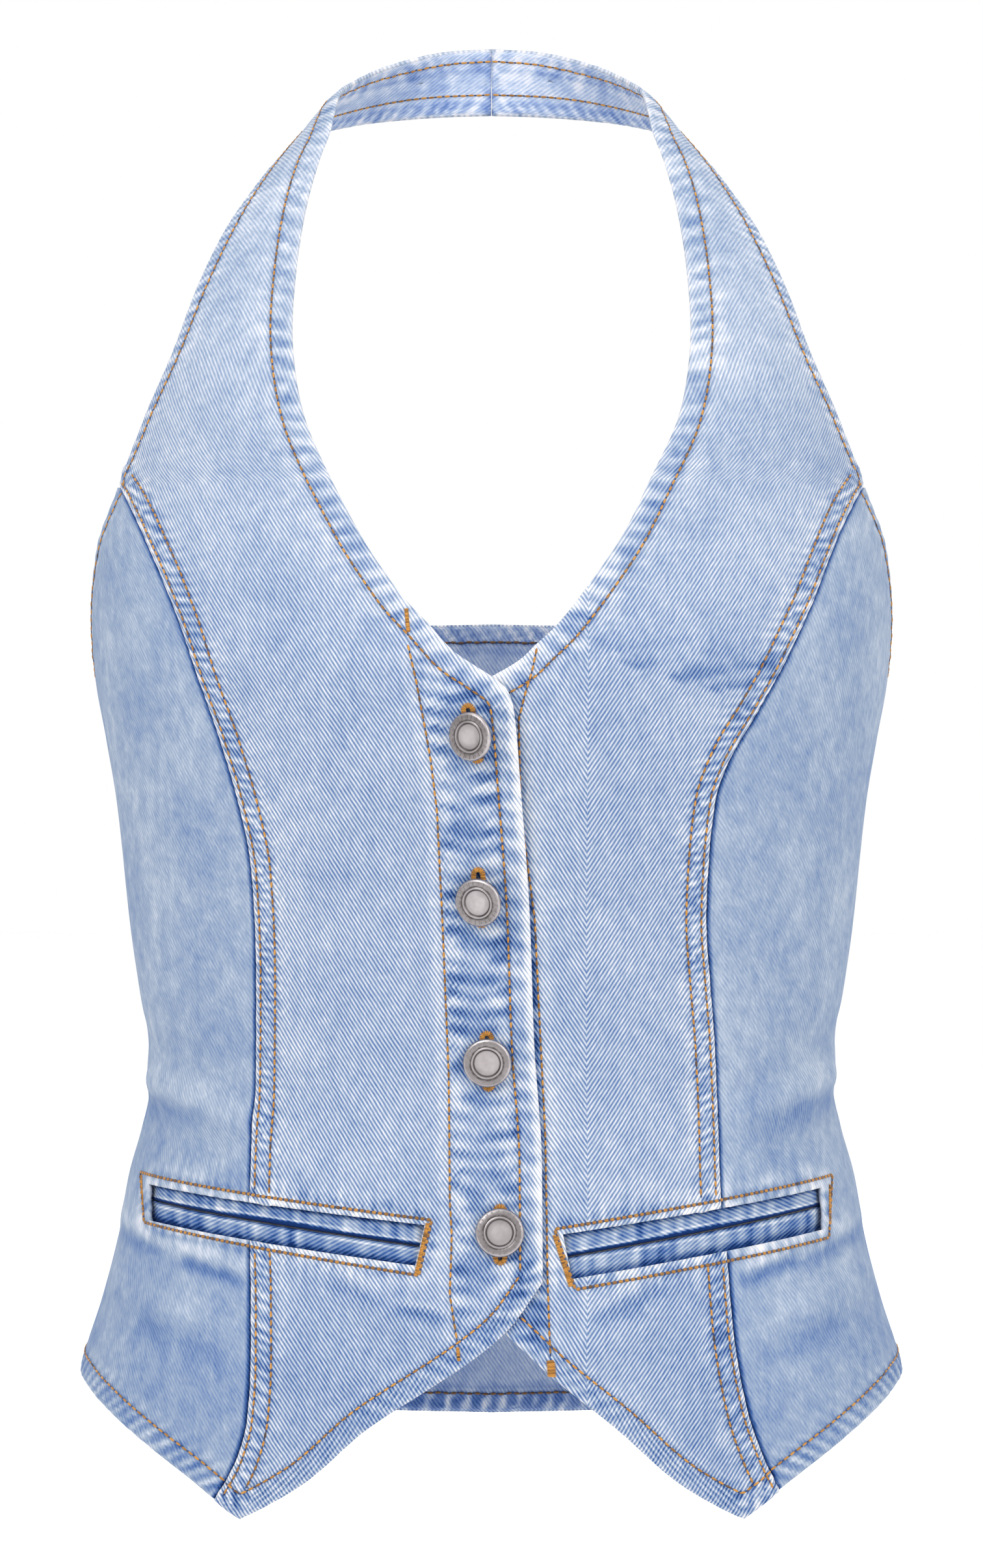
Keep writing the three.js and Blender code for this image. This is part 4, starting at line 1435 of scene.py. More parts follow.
class Wardrobe:
    """All the finishes, made once."""

    def __init__(self) -> None:
        """Make each material."""
        self.centre = {
            Side.RIGHT: DenimFinish("denim_twill_right", Wale.TO_LEFT).make(),
            Side.LEFT: DenimFinish("denim_twill_left", Wale.TO_RIGHT, flip_at=37).make(),
        }
        # The side panels lie bias to the light and were rubbed soft, so their ridges hardly show.
        self.side = DenimFinish("denim_twill_rubbed", Wale.TO_LEFT, depth=0.42, twill=0.1,
                                yarns=0.12, clouds=0.3).make()
        # The inside shows more white weft and was faded less by the wash.
        inner_ramp = ("#c6c8d1", "#9dabc2", "#798cb2", "#536da0", "#2d4c87", "#0f2b5c")
        self.reverse = DenimFinish("denim_twill_reverse", Wale.TO_RIGHT, depth=0.25, twill=0.2,
                                   yarns=0.16, clouds=0.2, ramp=inner_ramp).make()
        self.facing = DenimFinish("denim_twill_facing", Wale.TO_RIGHT, depth=0.28, twill=0.35,
                                  clouds=0.45, ramp=inner_ramp).make()
        self.welt = DenimFinish("denim_twill_welt", Wale.TO_LEFT, depth=0.55, twill=0.3).make()
        self.thread = ThreadFinish().make()
        self.nickel = NickelFinish().make()
        self.pocketing = PocketingFinish().make()


@dataclass
class Pocket:
    """A slanting double-welt pocket: its window, welts and bag.

    Attributes:
        side: Which front it is on.
        corners: Corners of the window from the upper outer one round, as x and z.
        slit: Ends of the slit between the welts, outer end first.
        sewn: Corners of the row of stitches round it, in the same order.
        bars: Thread bars at its ends, each both ends' x and z and the bar's width.
        margin: How far the welts reach past the window, under the cloth.
        drop: How far the welts lie under the cloth's face.
        puff: How far a welt's fold stands up.
        bag_layer: Thickness of the pocketing.
        bag_depth: How far the bag hangs under the slit.
        bag_over: How far its back layer reaches above the slit.
        above_hem: How far it stays clear of the hem.
    """

    side: Side
    corners: tuple
    slit: tuple
    sewn: tuple
    bars: tuple
    margin: float = 4
    drop: float = 0.7
    puff: float = 1.5
    bag_layer: float = 0.6
    bag_depth: float = 52
    bag_over: float = 5
    above_hem: float = 24

    def outline(self, body: Body, step: float = 4) -> ndarray:
        """Places round the window on the outer face of the cloth."""
        closed = resampled(np.array([*self.corners, self.corners[0]], float), step)
        return body.from_front(closed[:, 0], closed[:, 1])

    def line_z(self, ends: tuple, x: ndarray) -> ndarray:
        """Level of a straight line across the pocket."""
        (x0, z0), (x1, z1) = ends
        return z0 + (z1 - z0) * (x - x0) / (x1 - x0)

    def span(self) -> tuple[float, float]:
        """Where the welts and the bag start and end across."""
        across = [x for x, _ in self.slit]
        return min(across) - self.margin, max(across) + self.margin

    def welt(self, body: Body, upper: bool) -> Panel:
        """One welt: a folded strip whose fold lies at the slit.

        Args:
            body: The body that it follows.
            upper: Whether it is the upper welt.

        Returns:
            The welt as a panel.
        """
        c = self.corners
        edge = (c[0], c[1]) if upper else (c[3], c[2])
        sign = self.side.value
        low, high = self.span()
        x = np.linspace(low, high, 76)[None, :]
        t = np.linspace(0, 1, 15)[:, None]
        fold = self.line_z(self.slit, x) + (SEAM_GAP / 2 if upper else -SEAM_GAP / 2)
        back = self.line_z(edge, x) + (self.margin if upper else -self.margin)
        z = fold + (back - fold) * t
        x = np.broadcast_to(x, z.shape)
        height = np.abs(z - fold)
        # The fold stands round and full, flattens at both ends and sinks towards the seam.
        puff = self.puff * np.sqrt(1 - (1 - np.clip(height / 2.2, 0, 1)) ** 2)
        ends = np.minimum(np.abs(x - low), np.abs(x - high))
        puff = puff * smoothstep(ends, 2.5, 6.5)
        sink = 0.78 * smoothstep(height, 5.0, 8.5) * (puff > 0)
        wave = Ripple(31 + sign + 2 * upper, 6.0)(x)
        lift = -self.drop - 1.0 + puff - sink + 0.15 * wave
        places = body.offset(body.degree_at(x, z), z, lift)
        grain = np.stack([down_columns(places), x], axis=-1)
        name = f"welt_{'upper' if upper else 'lower'}_{self.side.name.lower()}"
        panel = Panel(name, places, grain, wall=CLOTH)
        panel.turn_outward(body.outward(body.degree_at(x, z), z))
        panel.shape()
        spots = Patches(37 + sign + 2 * upper, (5, 3))(grain)
        panel.ripple = 0.8 * wave + 0.9 * spots
        # The slit gapes in its middle, where the lower welt's shadowed lining shows.
        open_here = 0.5 + 0.9 * hump((x - low) / (high - low), 0.5, 0.3)
        shadow = 1.0 if upper else 0.35
        panel.wear = 0.85 * hump(height, 1.0 + shadow * open_here, 0.65)
        dark = shadow * (1 - smoothstep(height, open_here, open_here + 0.7))
        # Painted shadow also darkens each welt along the window's edge, where it runs under the
        # cloth.
        to_seam = np.abs(np.abs(back - z) - self.margin)
        panel.tone = 0.8 * dark + 0.36 * hump(to_seam, 0, 1.1 if upper else 1.9)
        return panel

    def bag(self, body: Body, pattern: FrontPattern) -> Panel:
        """The bag: one strip folded up at the bottom, its sides sewn.

        Args:
            body: The body that it hangs inside.
            pattern: The front, whose hem limits its depth.

        Returns:
            The bag as a panel.
        """
        low, high = self.span()
        x = np.linspace(low, high, 46)[None, :]
        t = np.linspace(-1, 1, 57)[:, None]
        slit = self.line_z(self.slit, x)
        hem = pattern.hem_z(body.degree_at(x, slit))
        deepest = np.maximum(slit - self.bag_depth, hem + self.above_hem)
        top = slit - 1 + (self.bag_over + 1) * (t > 0)
        share = 1 - np.abs(t) ** 1.5
        z = top + (deepest - top) * share
        to_side = 1 - np.abs(2 * (x - low) / (high - low) - 1)
        gap = 1.1 * np.tanh(t * 9) * np.minimum(1, 1.6 * to_side + 0.35)
        lift = -self.drop - CLOTH - 1.5 - gap
        x = np.broadcast_to(x, z.shape)
        places = body.offset(body.degree_at(x, z), z, lift)
        grain = np.stack([x, down_columns(places)], axis=-1)
        panel = Panel(f"pocket_bag_{self.side.name.lower()}", places, grain, wall=self.bag_layer)
        inner_layer = slice(20)
        panel.turn_outward(body.outward(body.degree_at(x, z), z)[inner_layer], inner_layer)
        panel.shape()
        panel.share = np.ones(z.shape)
        return panel


@dataclass
class Button:
    """A shank button in its buttonhole, with the tack behind the cloth.

    Attributes:
        number: Which button, from the top.
        x: Place across.
        z: Level.
        lean: How far its head tips sideways, in degrees.
        turn: How far its buttonhole turns from upright, in degrees.
        radius: Half the head's width.
        shank: Half the shank's width.
        tack: Half the tack's width.
        tack_thick: Thickness of the tack.
        thick: Thickness of the head.
        dish: Half the width of its smooth middle.
        steps: Sides of the spun shape.
        ticks: Fine marks pressed round its rim.
        hole: Length and width of the buttonhole.
        purl: Width of the thread round the buttonhole.
    """

    number: int
    x: float
    z: float
    lean: float
    turn: float
    radius: float = 9.4
    shank: float = 2.6
    tack: float = 4.6
    tack_thick: float = 1.1
    thick: float = 3
    dish: float = 5.1
    steps: int = 64
    ticks: int = 34
    hole: tuple = (20, 1.7)
    purl: float = 2.3

    def across_hole(self, out: float, up: float) -> tuple[float, float]:
        """Place at a distance across and up from the middle of the buttonhole."""
        c, s = math.cos(math.radians(self.turn)), math.sin(math.radians(self.turn))
        return self.x + out * c + up * s, self.z + up * c - out * s

    def slot(self) -> Hole:
        """The slot of its buttonhole."""
        length, width = self.hole
        return Hole([self.across_hole(a * width / 2, b * length / 2)
                     for a, b in ((-1, 1), (1, 1), (1, -1), (-1, -1))])

    def purl_line(self) -> list[tuple[float, float]]:
        """Middle of the thread round the buttonhole, as x and z."""
        out = (self.hole[1] + self.purl) / 2 - 0.2
        reach = self.hole[0] / 2 - out / 2
        round_end = [(math.cos(a) * out, reach + math.sin(a) * out)
                     for a in np.linspace(0, math.pi, 9)]
        whole = [*round_end, *[(-a, -b) for a, b in round_end], round_end[0]]
        return [self.across_hole(a, b) for a, b in whole]

    def spun(self, bm: BMesh, outline: tuple, top: ndarray,
             facing: ndarray) -> None:
        """Spin an outline about its axis and set it in place.

        Args:
            bm: Mesh that the shape joins.
            outline: Distance out and height of its points, from the axis back to the axis.
            top: Where height 0 goes.
            facing: Direction of the axis.
        """
        verts = [bm.verts.new((out, 0, height)) for out, height in outline]
        edges = [bm.edges.new(pair) for pair in zip(verts, verts[1:])]
        bmesh.ops.spin(bm, geom=verts + edges, angle=2 * math.pi, steps=self.steps,
                       axis=(0, 0, 1), cent=(0, 0, 0), use_merge=True)
        fresh = [v for v in bm.verts if not v.tag]
        bmesh.ops.remove_doubles(bm, verts=fresh, dist=1e-4)
        fresh = [v for v in bm.verts if not v.tag]
        faces = [f for f in bm.faces if not f.verts[0].tag]
        bmesh.ops.recalc_face_normals(bm, faces=faces)
        self.stand(bm, fresh, top, facing)

    def stand(self, bm: BMesh, verts: list, top: ndarray,
              facing: ndarray) -> None:
        """Turn a shape to face a direction, move it there and mark it as done."""
        turn = Vector((0, 0, 1)).rotation_difference(Vector(facing)).to_matrix().to_4x4()
        bmesh.ops.transform(bm, matrix=Matrix.Translation(Vector(top)) @ turn, verts=verts)
        for vert in verts:
            vert.tag = True

    def mesh(self, body: Body, lap: Lap) -> Object:
        """Spin the shank and the head, and press the rim.

        Args:
            body: The body that it sits on.
            lap: The lap that it passes through.

        Returns:
            The button.
        """
        x, z = np.array([self.x]), np.array([self.z])
        deg = body.degree_at(x, z)
        foot, outward = body.point(deg, z)[0], body.outward(deg, z)[0]
        cloth = float(lap.rise_at(x, z)[0]) + CLOTH
        facing = Matrix.Rotation(-math.radians(self.lean), 3, "Z") @ Vector(outward)
        under = cloth + SEAM_GAP + self.radius * math.sin(math.radians(self.lean))
        r, d, t, back = self.radius, self.dish, self.thick, -SEAM_GAP
        bm = bmesh.new()
        self.spun(bm, (
            (0, back - self.tack_thick), (self.tack * 0.8, back - self.tack_thick),
            (self.tack, back - self.tack_thick * 0.6), (self.tack, back), (self.shank, back),
            (self.shank, under + t / 3), (0, under + t / 3),
        ), foot, outward)
        top = foot + outward * under
        # The head: its back, rounded rim, pressed groove, raised ring and flat dish.
        self.spun(bm, (
            (0, 0), (r * 0.72, 0), (r * 0.92, t * 0.1), (r * 0.985, t * 0.28), (r, t * 0.5),
            (r * 0.985, t * 0.7), (r * 0.95, t * 0.84), (r * 0.88, t * 0.92), (r * 0.76, t * 0.95),
            (r * 0.7, t * 0.93), (r * 0.675, t * 0.9), (r * 0.65, t * 0.97), (r * 0.62, t),
            (r * 0.59, t * 0.99), (d * 1.03, t * 0.9), (d * 0.98, t * 0.8), (d * 0.9, t * 0.78),
            (d * 0.5, t * 0.8), (0, t * 0.81),
        ), top, facing)
        # Plain marks of uneven spacing stand in for the rim's pressed lettering.
        pressed = set()
        for k in range(self.ticks):
            turn = Matrix.Rotation(2 * math.pi * (k + 0.25 * (k % 3)) / self.ticks, 4, "Z")
            long = 0.16 if k % 3 else 0.1
            place = Matrix.Translation((r * 0.83, 0, t * 0.94))
            tip = Matrix.Rotation(math.radians(4), 4, "Y")
            size = Matrix.Diagonal((r * long, 0.55, 0.3, 1))
            made = bmesh.ops.create_cube(bm, size=1, matrix=turn @ place @ tip @ size)
            self.stand(bm, made["verts"], top, facing)
            pressed.update(made["verts"])
        # How much painted shade each place gets: most in the grooves, half on the rim, a little off
        # the face, none on the pressed marks.
        recess = bm.verts.layers.float.new("recess")
        axis = Vector(facing).normalized()
        for vert in bm.verts:
            arm = vert.co - Vector(top)
            height = arm.dot(axis)
            out = (arm - axis * height).length / r
            groove = hump(out, 0.68, 0.035) + hump(out, d / r, 0.05)
            rim = 0.5 * (0.7 < out < 0.93)
            on_face = 0.5 * t < height < 1.1 * t
            vert[recess] = 0 if vert in pressed else min(1, groove + rim) if on_face else 0.3
        bm.transform(Matrix.Scale(MM, 4))
        for face in bm.faces:
            face.smooth = True
        obj = new_object(f"button_{self.number}", bm)
        obj.data.set_sharp_from_angle(angle=math.radians(35))
        return obj


@dataclass
class Tailor:
    """Cuts the panels of the waistcoat and sews them."""

    body: Body = field(default_factory=Body)
    spacing: Spacing = field(default_factory=Spacing)
    strap: Strap = field(default_factory=Strap)
    back_top: tuple = ((97, -250), (110, -243), (130, -233), (150, -227.5), (180, -226))
    back_hem: tuple = ((97, -526), (115, -536), (135, -549), (155, -556), (180, -557.5))

    def __post_init__(self) -> None:
        """Draft both fronts, the pockets and the buttons."""
        self.right = FrontPattern(
            self.body, Side.RIGHT,
            edge=((-176, -62.9), (-191.5, -54.7), (-202, -48.6), (-212, -41.9), (-222, -34.4),
                  (-233, -24), (-243, -14.5), (-248.5, -6), (-252.5, 0.5), (-256.5, 5.5), (-262, 8),
                  (-271, 9.3), (-292, 11), (-342, 14.7), (-392, 16.5), (-442, 19.6), (-485, 19.8),
                  (-580, 19.8)),
            princess=((-176, -147.4), (-199, -135.6), (-229, -122.2), (-251.5, -114),
                      (-277, -104.9), (-302, -97.8), (-326.5, -93.4), (-363, -91.9),
                      (-418, -92.4), (-437, -94), (-457, -94.5), (-494, -93.7), (-517, -93.6),
                      (-538, -94.9), (-552, -98.4), (-563.5, -103.9), (-570, -108), (-580, -113)),
            hem=((19.8, -485.3), (5.7, -504), (-8.7, -515.5), (-23.5, -525), (-48.7, -541.4),
                 (-72.3, -562), (-89.2, -572.5), (-98, -577)),
            laps=True,
        )
        self.left = FrontPattern(
            self.body, Side.LEFT,
            edge=((-176, 62.2), (-191.5, 54.7), (-202, 48.6), (-212, 41.7), (-222, 34.2),
                  (-233, 25.2), (-240.5, 17), (-246, 11), (-252, 0.5), (-257, -9), (-262, -15),
                  (-270, -19), (-280, -20.5), (-380, -17.5), (-488, -13.4), (-580, -13.4)),
            princess=((-176, 147.4), (-196, 136.6), (-223, 125.2), (-245, 114.4), (-266, 102.5),
                      (-285.5, 91.3), (-299, 86.8), (-322, 84.4), (-345, 83.6), (-369, 85.2),
                      (-393.5, 87.2), (-424, 88.6), (-459, 89.8), (-477, 91.8), (-506, 94.2),
                      (-535, 99.4), (-552, 105.2), (-567.5, 112.4), (-580, 118)),
            hem=((-13.4, -487.8), (4.7, -504), (26, -523), (49, -541.4), (72.3, -562),
                 (89.2, -572.5), (98, -577)),
            laps=False,
        )
        self.lap = Lap(self.left)
        self.pockets = {
            Side.RIGHT: Pocket(
                Side.RIGHT,
                corners=((-135.3, -451.2), (-25.8, -463), (-29.3, -478.5), (-134.8, -465)),
                slit=((-135, -457.6), (-27.5, -471.3)),
                sewn=((-139.2, -447.1), (-23, -461.1), (-28, -482.2), (-136.9, -466)),
                bars=(((-24.3, -462.6), (-28.6, -481.6), 2.6),
                      ((-138.6, -448.6), (-137.2, -464.6), 1.3)),
            ),
            Side.LEFT: Pocket(
                Side.LEFT,
                corners=((129.8, -452), (27.5, -466.6), (31, -483.6), (130.7, -468)),
                slit=((130.5, -459.3), (29, -475.4)),
                sewn=((134.5, -447.5), (24.3, -464.6), (32.2, -487.6), (132.5, -471.4)),
                bars=(((24.6, -467), (30.6, -486), 2.6), ((133.4, -451.5), (133.2, -466), 2.0)),
            ),
        }
        self.plackets = {
            Side.RIGHT: Placket(
                stitch=((-32, -239.8), (-28.8, -253.7), (-25.3, -272.3), (-23.1, -284.7),
                        (-20.9, -303.1), (-19, -341.9), (-16.5, -404.7), (-16, -454.7),
                        (-15.3, -467), (-16, -489.3), (-14.5, -499.1), (-13, -507.9)),
                bars=(((-32.6, -226.5), (-31.8, -235), 1.8), ((-13, -509.5), (-12.5, -514), 1.6)),
                seed=91,
            ),
            Side.LEFT: Placket(
                stitch=((17.4, -241.1), (15.4, -250.5), (12.6, -259.7), (10.4, -268.9),
                        (11.2, -304.4), (16.6, -345), (18.1, -376.3), (20.8, -430), (21.6, -485),
                        (22.3, -506), (22.7, -513.8)),
                bars=(((22.7, -514.5), (23.2, -521), 3.8),),
                seed=95,
            ),
        }
        self.creases = {
            Side.RIGHT: (
                Crease(((-36, -494.5), (-17, -498.5)), wide=2.2, rise=0.8, shade=0.4),
                Crease(((-122, -479), (-95, -486)), wide=4.5, rise=1.1, shade=0.3),
                Crease(((-146, -419), (-110, -425)), wide=8, rise=1.1, shade=0.16),
                Crease(((-151, -470), (-128, -478)), wide=5, rise=0.8, shade=0.2),
                Crease(((-62, -484), (-42, -493)), wide=4, rise=0.7, shade=0.22),
                Crease(((-140, -503), (-104, -516)), wide=10, rise=1.0, shade=0.12),
            ),
            Side.LEFT: (
                Crease(((142, -417), (110, -424)), wide=8, rise=1.1, shade=0.16),
                Crease(((120, -478), (98, -486)), wide=4.5, rise=1.0, shade=0.28),
                Crease(((62, -488), (40, -499)), wide=4, rise=0.8, shade=0.24),
                Crease(((148, -470), (124, -480)), wide=5, rise=0.8, shade=0.2),
                Crease(((136, -503), (104, -516)), wide=10, rise=1.0, shade=0.12),
            ),
        }
        self.buttons = [
            Button(1, -7.2, -274, lean=32, turn=-11), Button(2, -4.5, -336.8, lean=22, turn=-4),
            Button(3, -1.5, -400, lean=6, turn=-2), Button(4, 3.3, -466.5, lean=4, turn=0),
        ]

    def hem_level(self, pattern: FrontPattern, degrees: object, share: ndarray) -> ndarray:
        """Level of each column's end, where that level moves the column sideways.

        Args:
            pattern: The front.
            degrees: Method that gives the degrees at a share and a level.
            share: Shares of the way across.

        Returns:
            The levels.
        """
        level = np.full(share.shape, -540.0)
        for _ in range(12):
            level = pattern.hem_z(degrees(share, level))
        return level

    def body_grid(self, pattern: FrontPattern, degrees: object, place: object, rows: int,
                  columns: int, turned: bool) -> tuple[ndarray, ndarray]:
        """Grid of a front panel from the tip of the armhole to the hem.

        Args:
            pattern: The front.
            degrees: Method that gives the degrees at a share and a level.
            place: Function that gives the place at a share and a level.
            rows: Rows.
            columns: Columns.
            turned: Whether its first column is a turned edge.

        Returns:
            Share of the way across and level at each place.
        """
        tip_z = pattern.armhole.tip_z
        end = float(self.hem_level(pattern, degrees, np.array(0.5)))
        rough = np.linspace(tip_z, end, rows)[:, None]
        nine = np.linspace(0, 1, 9)[None, :]
        width = across_rows(place(nine + 0 * rough, rough + 0 * nine))[:, -1:]
        row, column = np.arange(rows)[:, None], np.arange(columns)[None, :]
        share = self.spacing.at(column, columns, width, turned, True) / width
        end = self.hem_level(pattern, degrees, share)
        return share, tip_z - self.spacing.at(row, rows, tip_z - end, False, True)

    def centre_front(self, pattern: FrontPattern, rows_on_strap: int = 164,
                     rows_on_body: int = 214, columns: int = 70) -> Panel:
        """Strap and centre front as one panel.

        Args:
            pattern: The front.
            rows_on_strap: Rows from the centre back to the tip of the armhole.
            rows_on_body: Rows from there to the hem.
            columns: Columns from the front edge to the princess seam.

        Returns:
            The panel, with its bands.
        """
        lap = self.lap if pattern.laps else None
        tip = len(self.strap.stations)
        turn = np.linspace(0, tip, 241)
        half = np.full(turn.shape, 0.5)
        length = path_lengths(self.strap.places(pattern, lap, turn, half))
        turn = np.interp(np.linspace(0, length[-1], rows_on_strap + 1)[:-1], length, turn)
        nine = np.linspace(0, 1, 9)[None, :]
        wide = self.strap.places(pattern, lap, turn[:, None] + 0 * nine, nine + 0 * turn[:, None])
        strap_width = across_rows(wide)[:, -1:]
        column = np.arange(columns)[None, :]
        share = self.spacing.at(column, columns, strap_width, True, True) / strap_width
        strap = self.strap.places(pattern, lap, turn[:, None] + 0 * share, share)
        strap[0, :, 0] = pattern.side.value * SEAM_GAP / 2

        def place(share: ndarray, z: ndarray) -> ndarray:
            """Place at a share of the way across and a level."""
            return centre_places(pattern, lap, share, z)

        share, z = self.body_grid(pattern, pattern.centre_degrees, place, rows_on_body, columns,
                                  True)
        body = place(share, z)
        places = np.concatenate([strap, body])
        across = body[:, :1, 0] + pattern.side.value * across_rows(body[..., :2])
        middle = columns // 2
        over = across_rows(strap)
        over = across[0, middle] + pattern.side.value * (over - over[:, middle : middle + 1])
        up = path_lengths(np.concatenate([strap[:, middle], body[:1, middle]]))
        up = pattern.armhole.tip_z + (up[-1] - up[:-1])[:, None] + 0 * over
        grain = np.concatenate([np.stack([over, up], -1), np.stack([across, z], -1)])
        name = pattern.side.name.lower()
        panel = Panel(f"front_{name}", places, grain)
        outward = self.body.outward(pattern.centre_degrees(share, z), z)
        panel.turn_outward(outward, slice(rows_on_strap, None))
        corner = rows_on_strap
        seed = 3 if pattern.laps else 5
        panel.bands = {
            "front": Band(places[:, 0], seed=seed, rows=(8.7,), inner_rows=(5.2,), ink=0.75,
                          lean=0.35, whiten=0.6, worn=1.7, blotch=0.12, wave=8.4),
            "armhole": Band(places[: corner + 1, -1], seed=seed + 10, rows=(5.4,),
                            inner_rows=(8.7,), wave=6.0),
            "princess": Band(places[corner:, -1], seed=seed + 20, rows=(2.4, 8.7), rise=0.75,
                             round_over=0.8, pucker=0.22, wave=4.7, lean=-0.6, whiten=1.1,
                             worn=1.6, ink=1.3, blotch=0.08, halo=0.07, narrow=0.22),
            "hem": Band(places[-1], seed=seed + 30, pucker=0.3, wave=6.4, ink=1.1, lean=-0.8),
            "neck_seam": Band(places[0], rows=(1.6,), inner_rows=(), seed=seed + 40, rise=0.2,
                              round_over=0.4, pucker=0.1, whiten=0.35, worn=2.4, fold=0.4),
        }
        return panel

    def side_front(self, pattern: FrontPattern, rows: int = 216, columns: int = 66) -> Panel:
        """Side panel of a front, from the princess seam to the side seam.

        Args:
            pattern: The front.
            rows: Rows from the tip of the armhole to the hem.
            columns: Columns.

        Returns:
            The panel, with its bands.
        """

        def place(share: ndarray, z: ndarray) -> ndarray:
            """Place at a share of the way across and a level."""
            deg = pattern.side_degrees(share, z)
            return self.body.offset(deg, z, np.full(deg.shape, CLOTH))

        share, z = self.body_grid(pattern, pattern.side_degrees, place, rows, columns, False)
        deg, places = pattern.side_degrees(share, z), place(share, z)
        across = places[:, :1, 0] + pattern.side.value * across_rows(places[..., :2])
        panel = Panel(f"side_front_{pattern.side.name.lower()}", places,
                      np.stack([across, z], axis=-1))
        panel.turn_outward(self.body.outward(deg, z))
        under_arm = int(np.argmax(z[:, -1] < -249))
        panel.bands = {
            "armhole": Band(places[: under_arm + 1, -1], seed=51 + pattern.side.value,
                            rows=(8.2,), ink=0.7),
            "hem": Band(places[-1], seed=61 + pattern.side.value, pucker=0.3, wave=6.6,
                        ink=1.1, lean=0.8),
        }
        panel.sunk = {"princess": places[:, 0], "side_seam": places[under_arm:, -1]}
        return panel

    def back(self, rows: int = 170, columns: int = 148) -> Panel:
        """The back, plain, with a turned top and hem.

        Args:
            rows: Rows from the top to the hem.
            columns: Columns from side seam to side seam.

        Returns:
            The panel, with its bands.
        """
        top, hem = SmoothCurve(list(self.back_top)), SmoothCurve(list(self.back_hem))
        seam = 97.0
        share = np.linspace(0, 1, columns)[None, :]
        rough = seam + (360 - 2 * seam) * share
        level = np.minimum(rough, 360 - rough)
        length = top(level) - hem(level)
        row = np.arange(rows)[:, None]
        z = top(level) - self.spacing.at(row, rows, length, True, True)
        place = self.body.point(np.full(z.shape, seam), z)
        gap = np.degrees(SEAM_GAP / 2 / np.hypot(place[..., 0], place[..., 1] - self.body.side_y))
        deg = seam + gap + (360 - 2 * (seam + gap)) * share
        places = self.body.offset(deg, z, np.full(deg.shape, CLOTH))
        across = across_rows(places[..., :2])
        across = across - across[:, columns // 2][:, None]
        panel = Panel("back", places, np.stack([across, z], axis=-1))
        panel.turn_outward(self.body.outward(deg, z))
        panel.bands = {
            "top": Band(places[0], seed=71, rows=(8.0,), pucker=0.3, ink=1.5, fold=11.5),
            "hem": Band(places[-1], seed=72, rows=(8.2,), pucker=0.35, ink=2.0, whiten=0.3,
                        lean=0.25, spread=1.2, narrow=0.5, fold=11.2),
        }
        panel.sunk = {"side_right": places[:, -1], "side_left": places[:, 0]}
        return panel


@dataclass
class Studio:
    """Pale floor, soft light and the camera at the photograph's angle.

    Attributes:
        distance: Distance of the camera in front of the nape.
        level: Level of the camera.
        focal: Focal length in pixels of the full frame.
        frame_height: Height of the full frame in pixels.
        sensor: Height of the camera's sensor.
        floor_z: Level of the floor, under the hanging waistcoat.
    """

    distance: float = 2500
    level: float = -293.3
    focal: float = 9200
    frame_height: float = 2411
    sensor: float = 36
    floor_z: float = -655

    def camera(self) -> None:
        """Set up the camera."""
        data = bpy.data.cameras.new("camera")
        data.sensor_fit = "VERTICAL"
        data.sensor_height = self.sensor
        data.lens = self.focal / self.frame_height * self.sensor
        data.clip_end = 50
        camera = bpy.data.objects.new("camera", data)
        camera.location = (0, -self.distance * MM, self.level * MM)
        camera.rotation_euler = (math.pi / 2, 0, 0)
        bpy.context.scene.collection.objects.link(camera)
        bpy.context.scene.camera = camera

    def light(self) -> None:
        """Hang soft boxes and light the room evenly."""
        for name, place, size, power in (
            ("key", (-1.1, -1.9, 1.2), 1.5, 33), ("fill", (1.4, -1.8, 0.6), 1.6, 19),
            ("top", (0, -0.2, 1.9), 1.8, 14), ("rear", (0.9, 2.0, 0.7), 1.6, 16),
        ):
            data = bpy.data.lights.new(name, "AREA")
            data.size = size
            data.energy = power
            lamp = bpy.data.objects.new(name, data)
            lamp.location = place
            aim = Vector((0, -0.1, -0.3)) - Vector(place)
            lamp.rotation_euler = aim.to_track_quat("-Z", "Y").to_euler()
            bpy.context.scene.collection.objects.link(lamp)
        world = bpy.data.worlds.new("room")
        world.use_nodes = True
        world.node_tree.nodes["Background"].inputs["Color"].default_value = (1, 1, 1, 1)
        world.node_tree.nodes["Background"].inputs["Strength"].default_value = 1.0
        bpy.context.scene.world = world
        bpy.context.scene.view_settings.view_transform = "Standard"

    def floor(self) -> None:
        """Lay a pale floor."""
        material, tree = new_material("painted_floor")
        shader = add_node(tree, "ShaderNodeBsdfPrincipled",
                          {"Base Color": linear("#ffffff"), "Roughness": 0.9,
                           "Specular IOR Level": 0.3})
        add_node(tree, "ShaderNodeOutputMaterial", {"Surface": shader.outputs[0]})
        bm = bmesh.new()
        bmesh.ops.create_grid(bm, x_segments=2, y_segments=2, size=12)
        bm.transform(Matrix.Translation((0, 0, self.floor_z * MM)))
        obj = new_object("floor", bm)
        obj.data.materials.append(material)


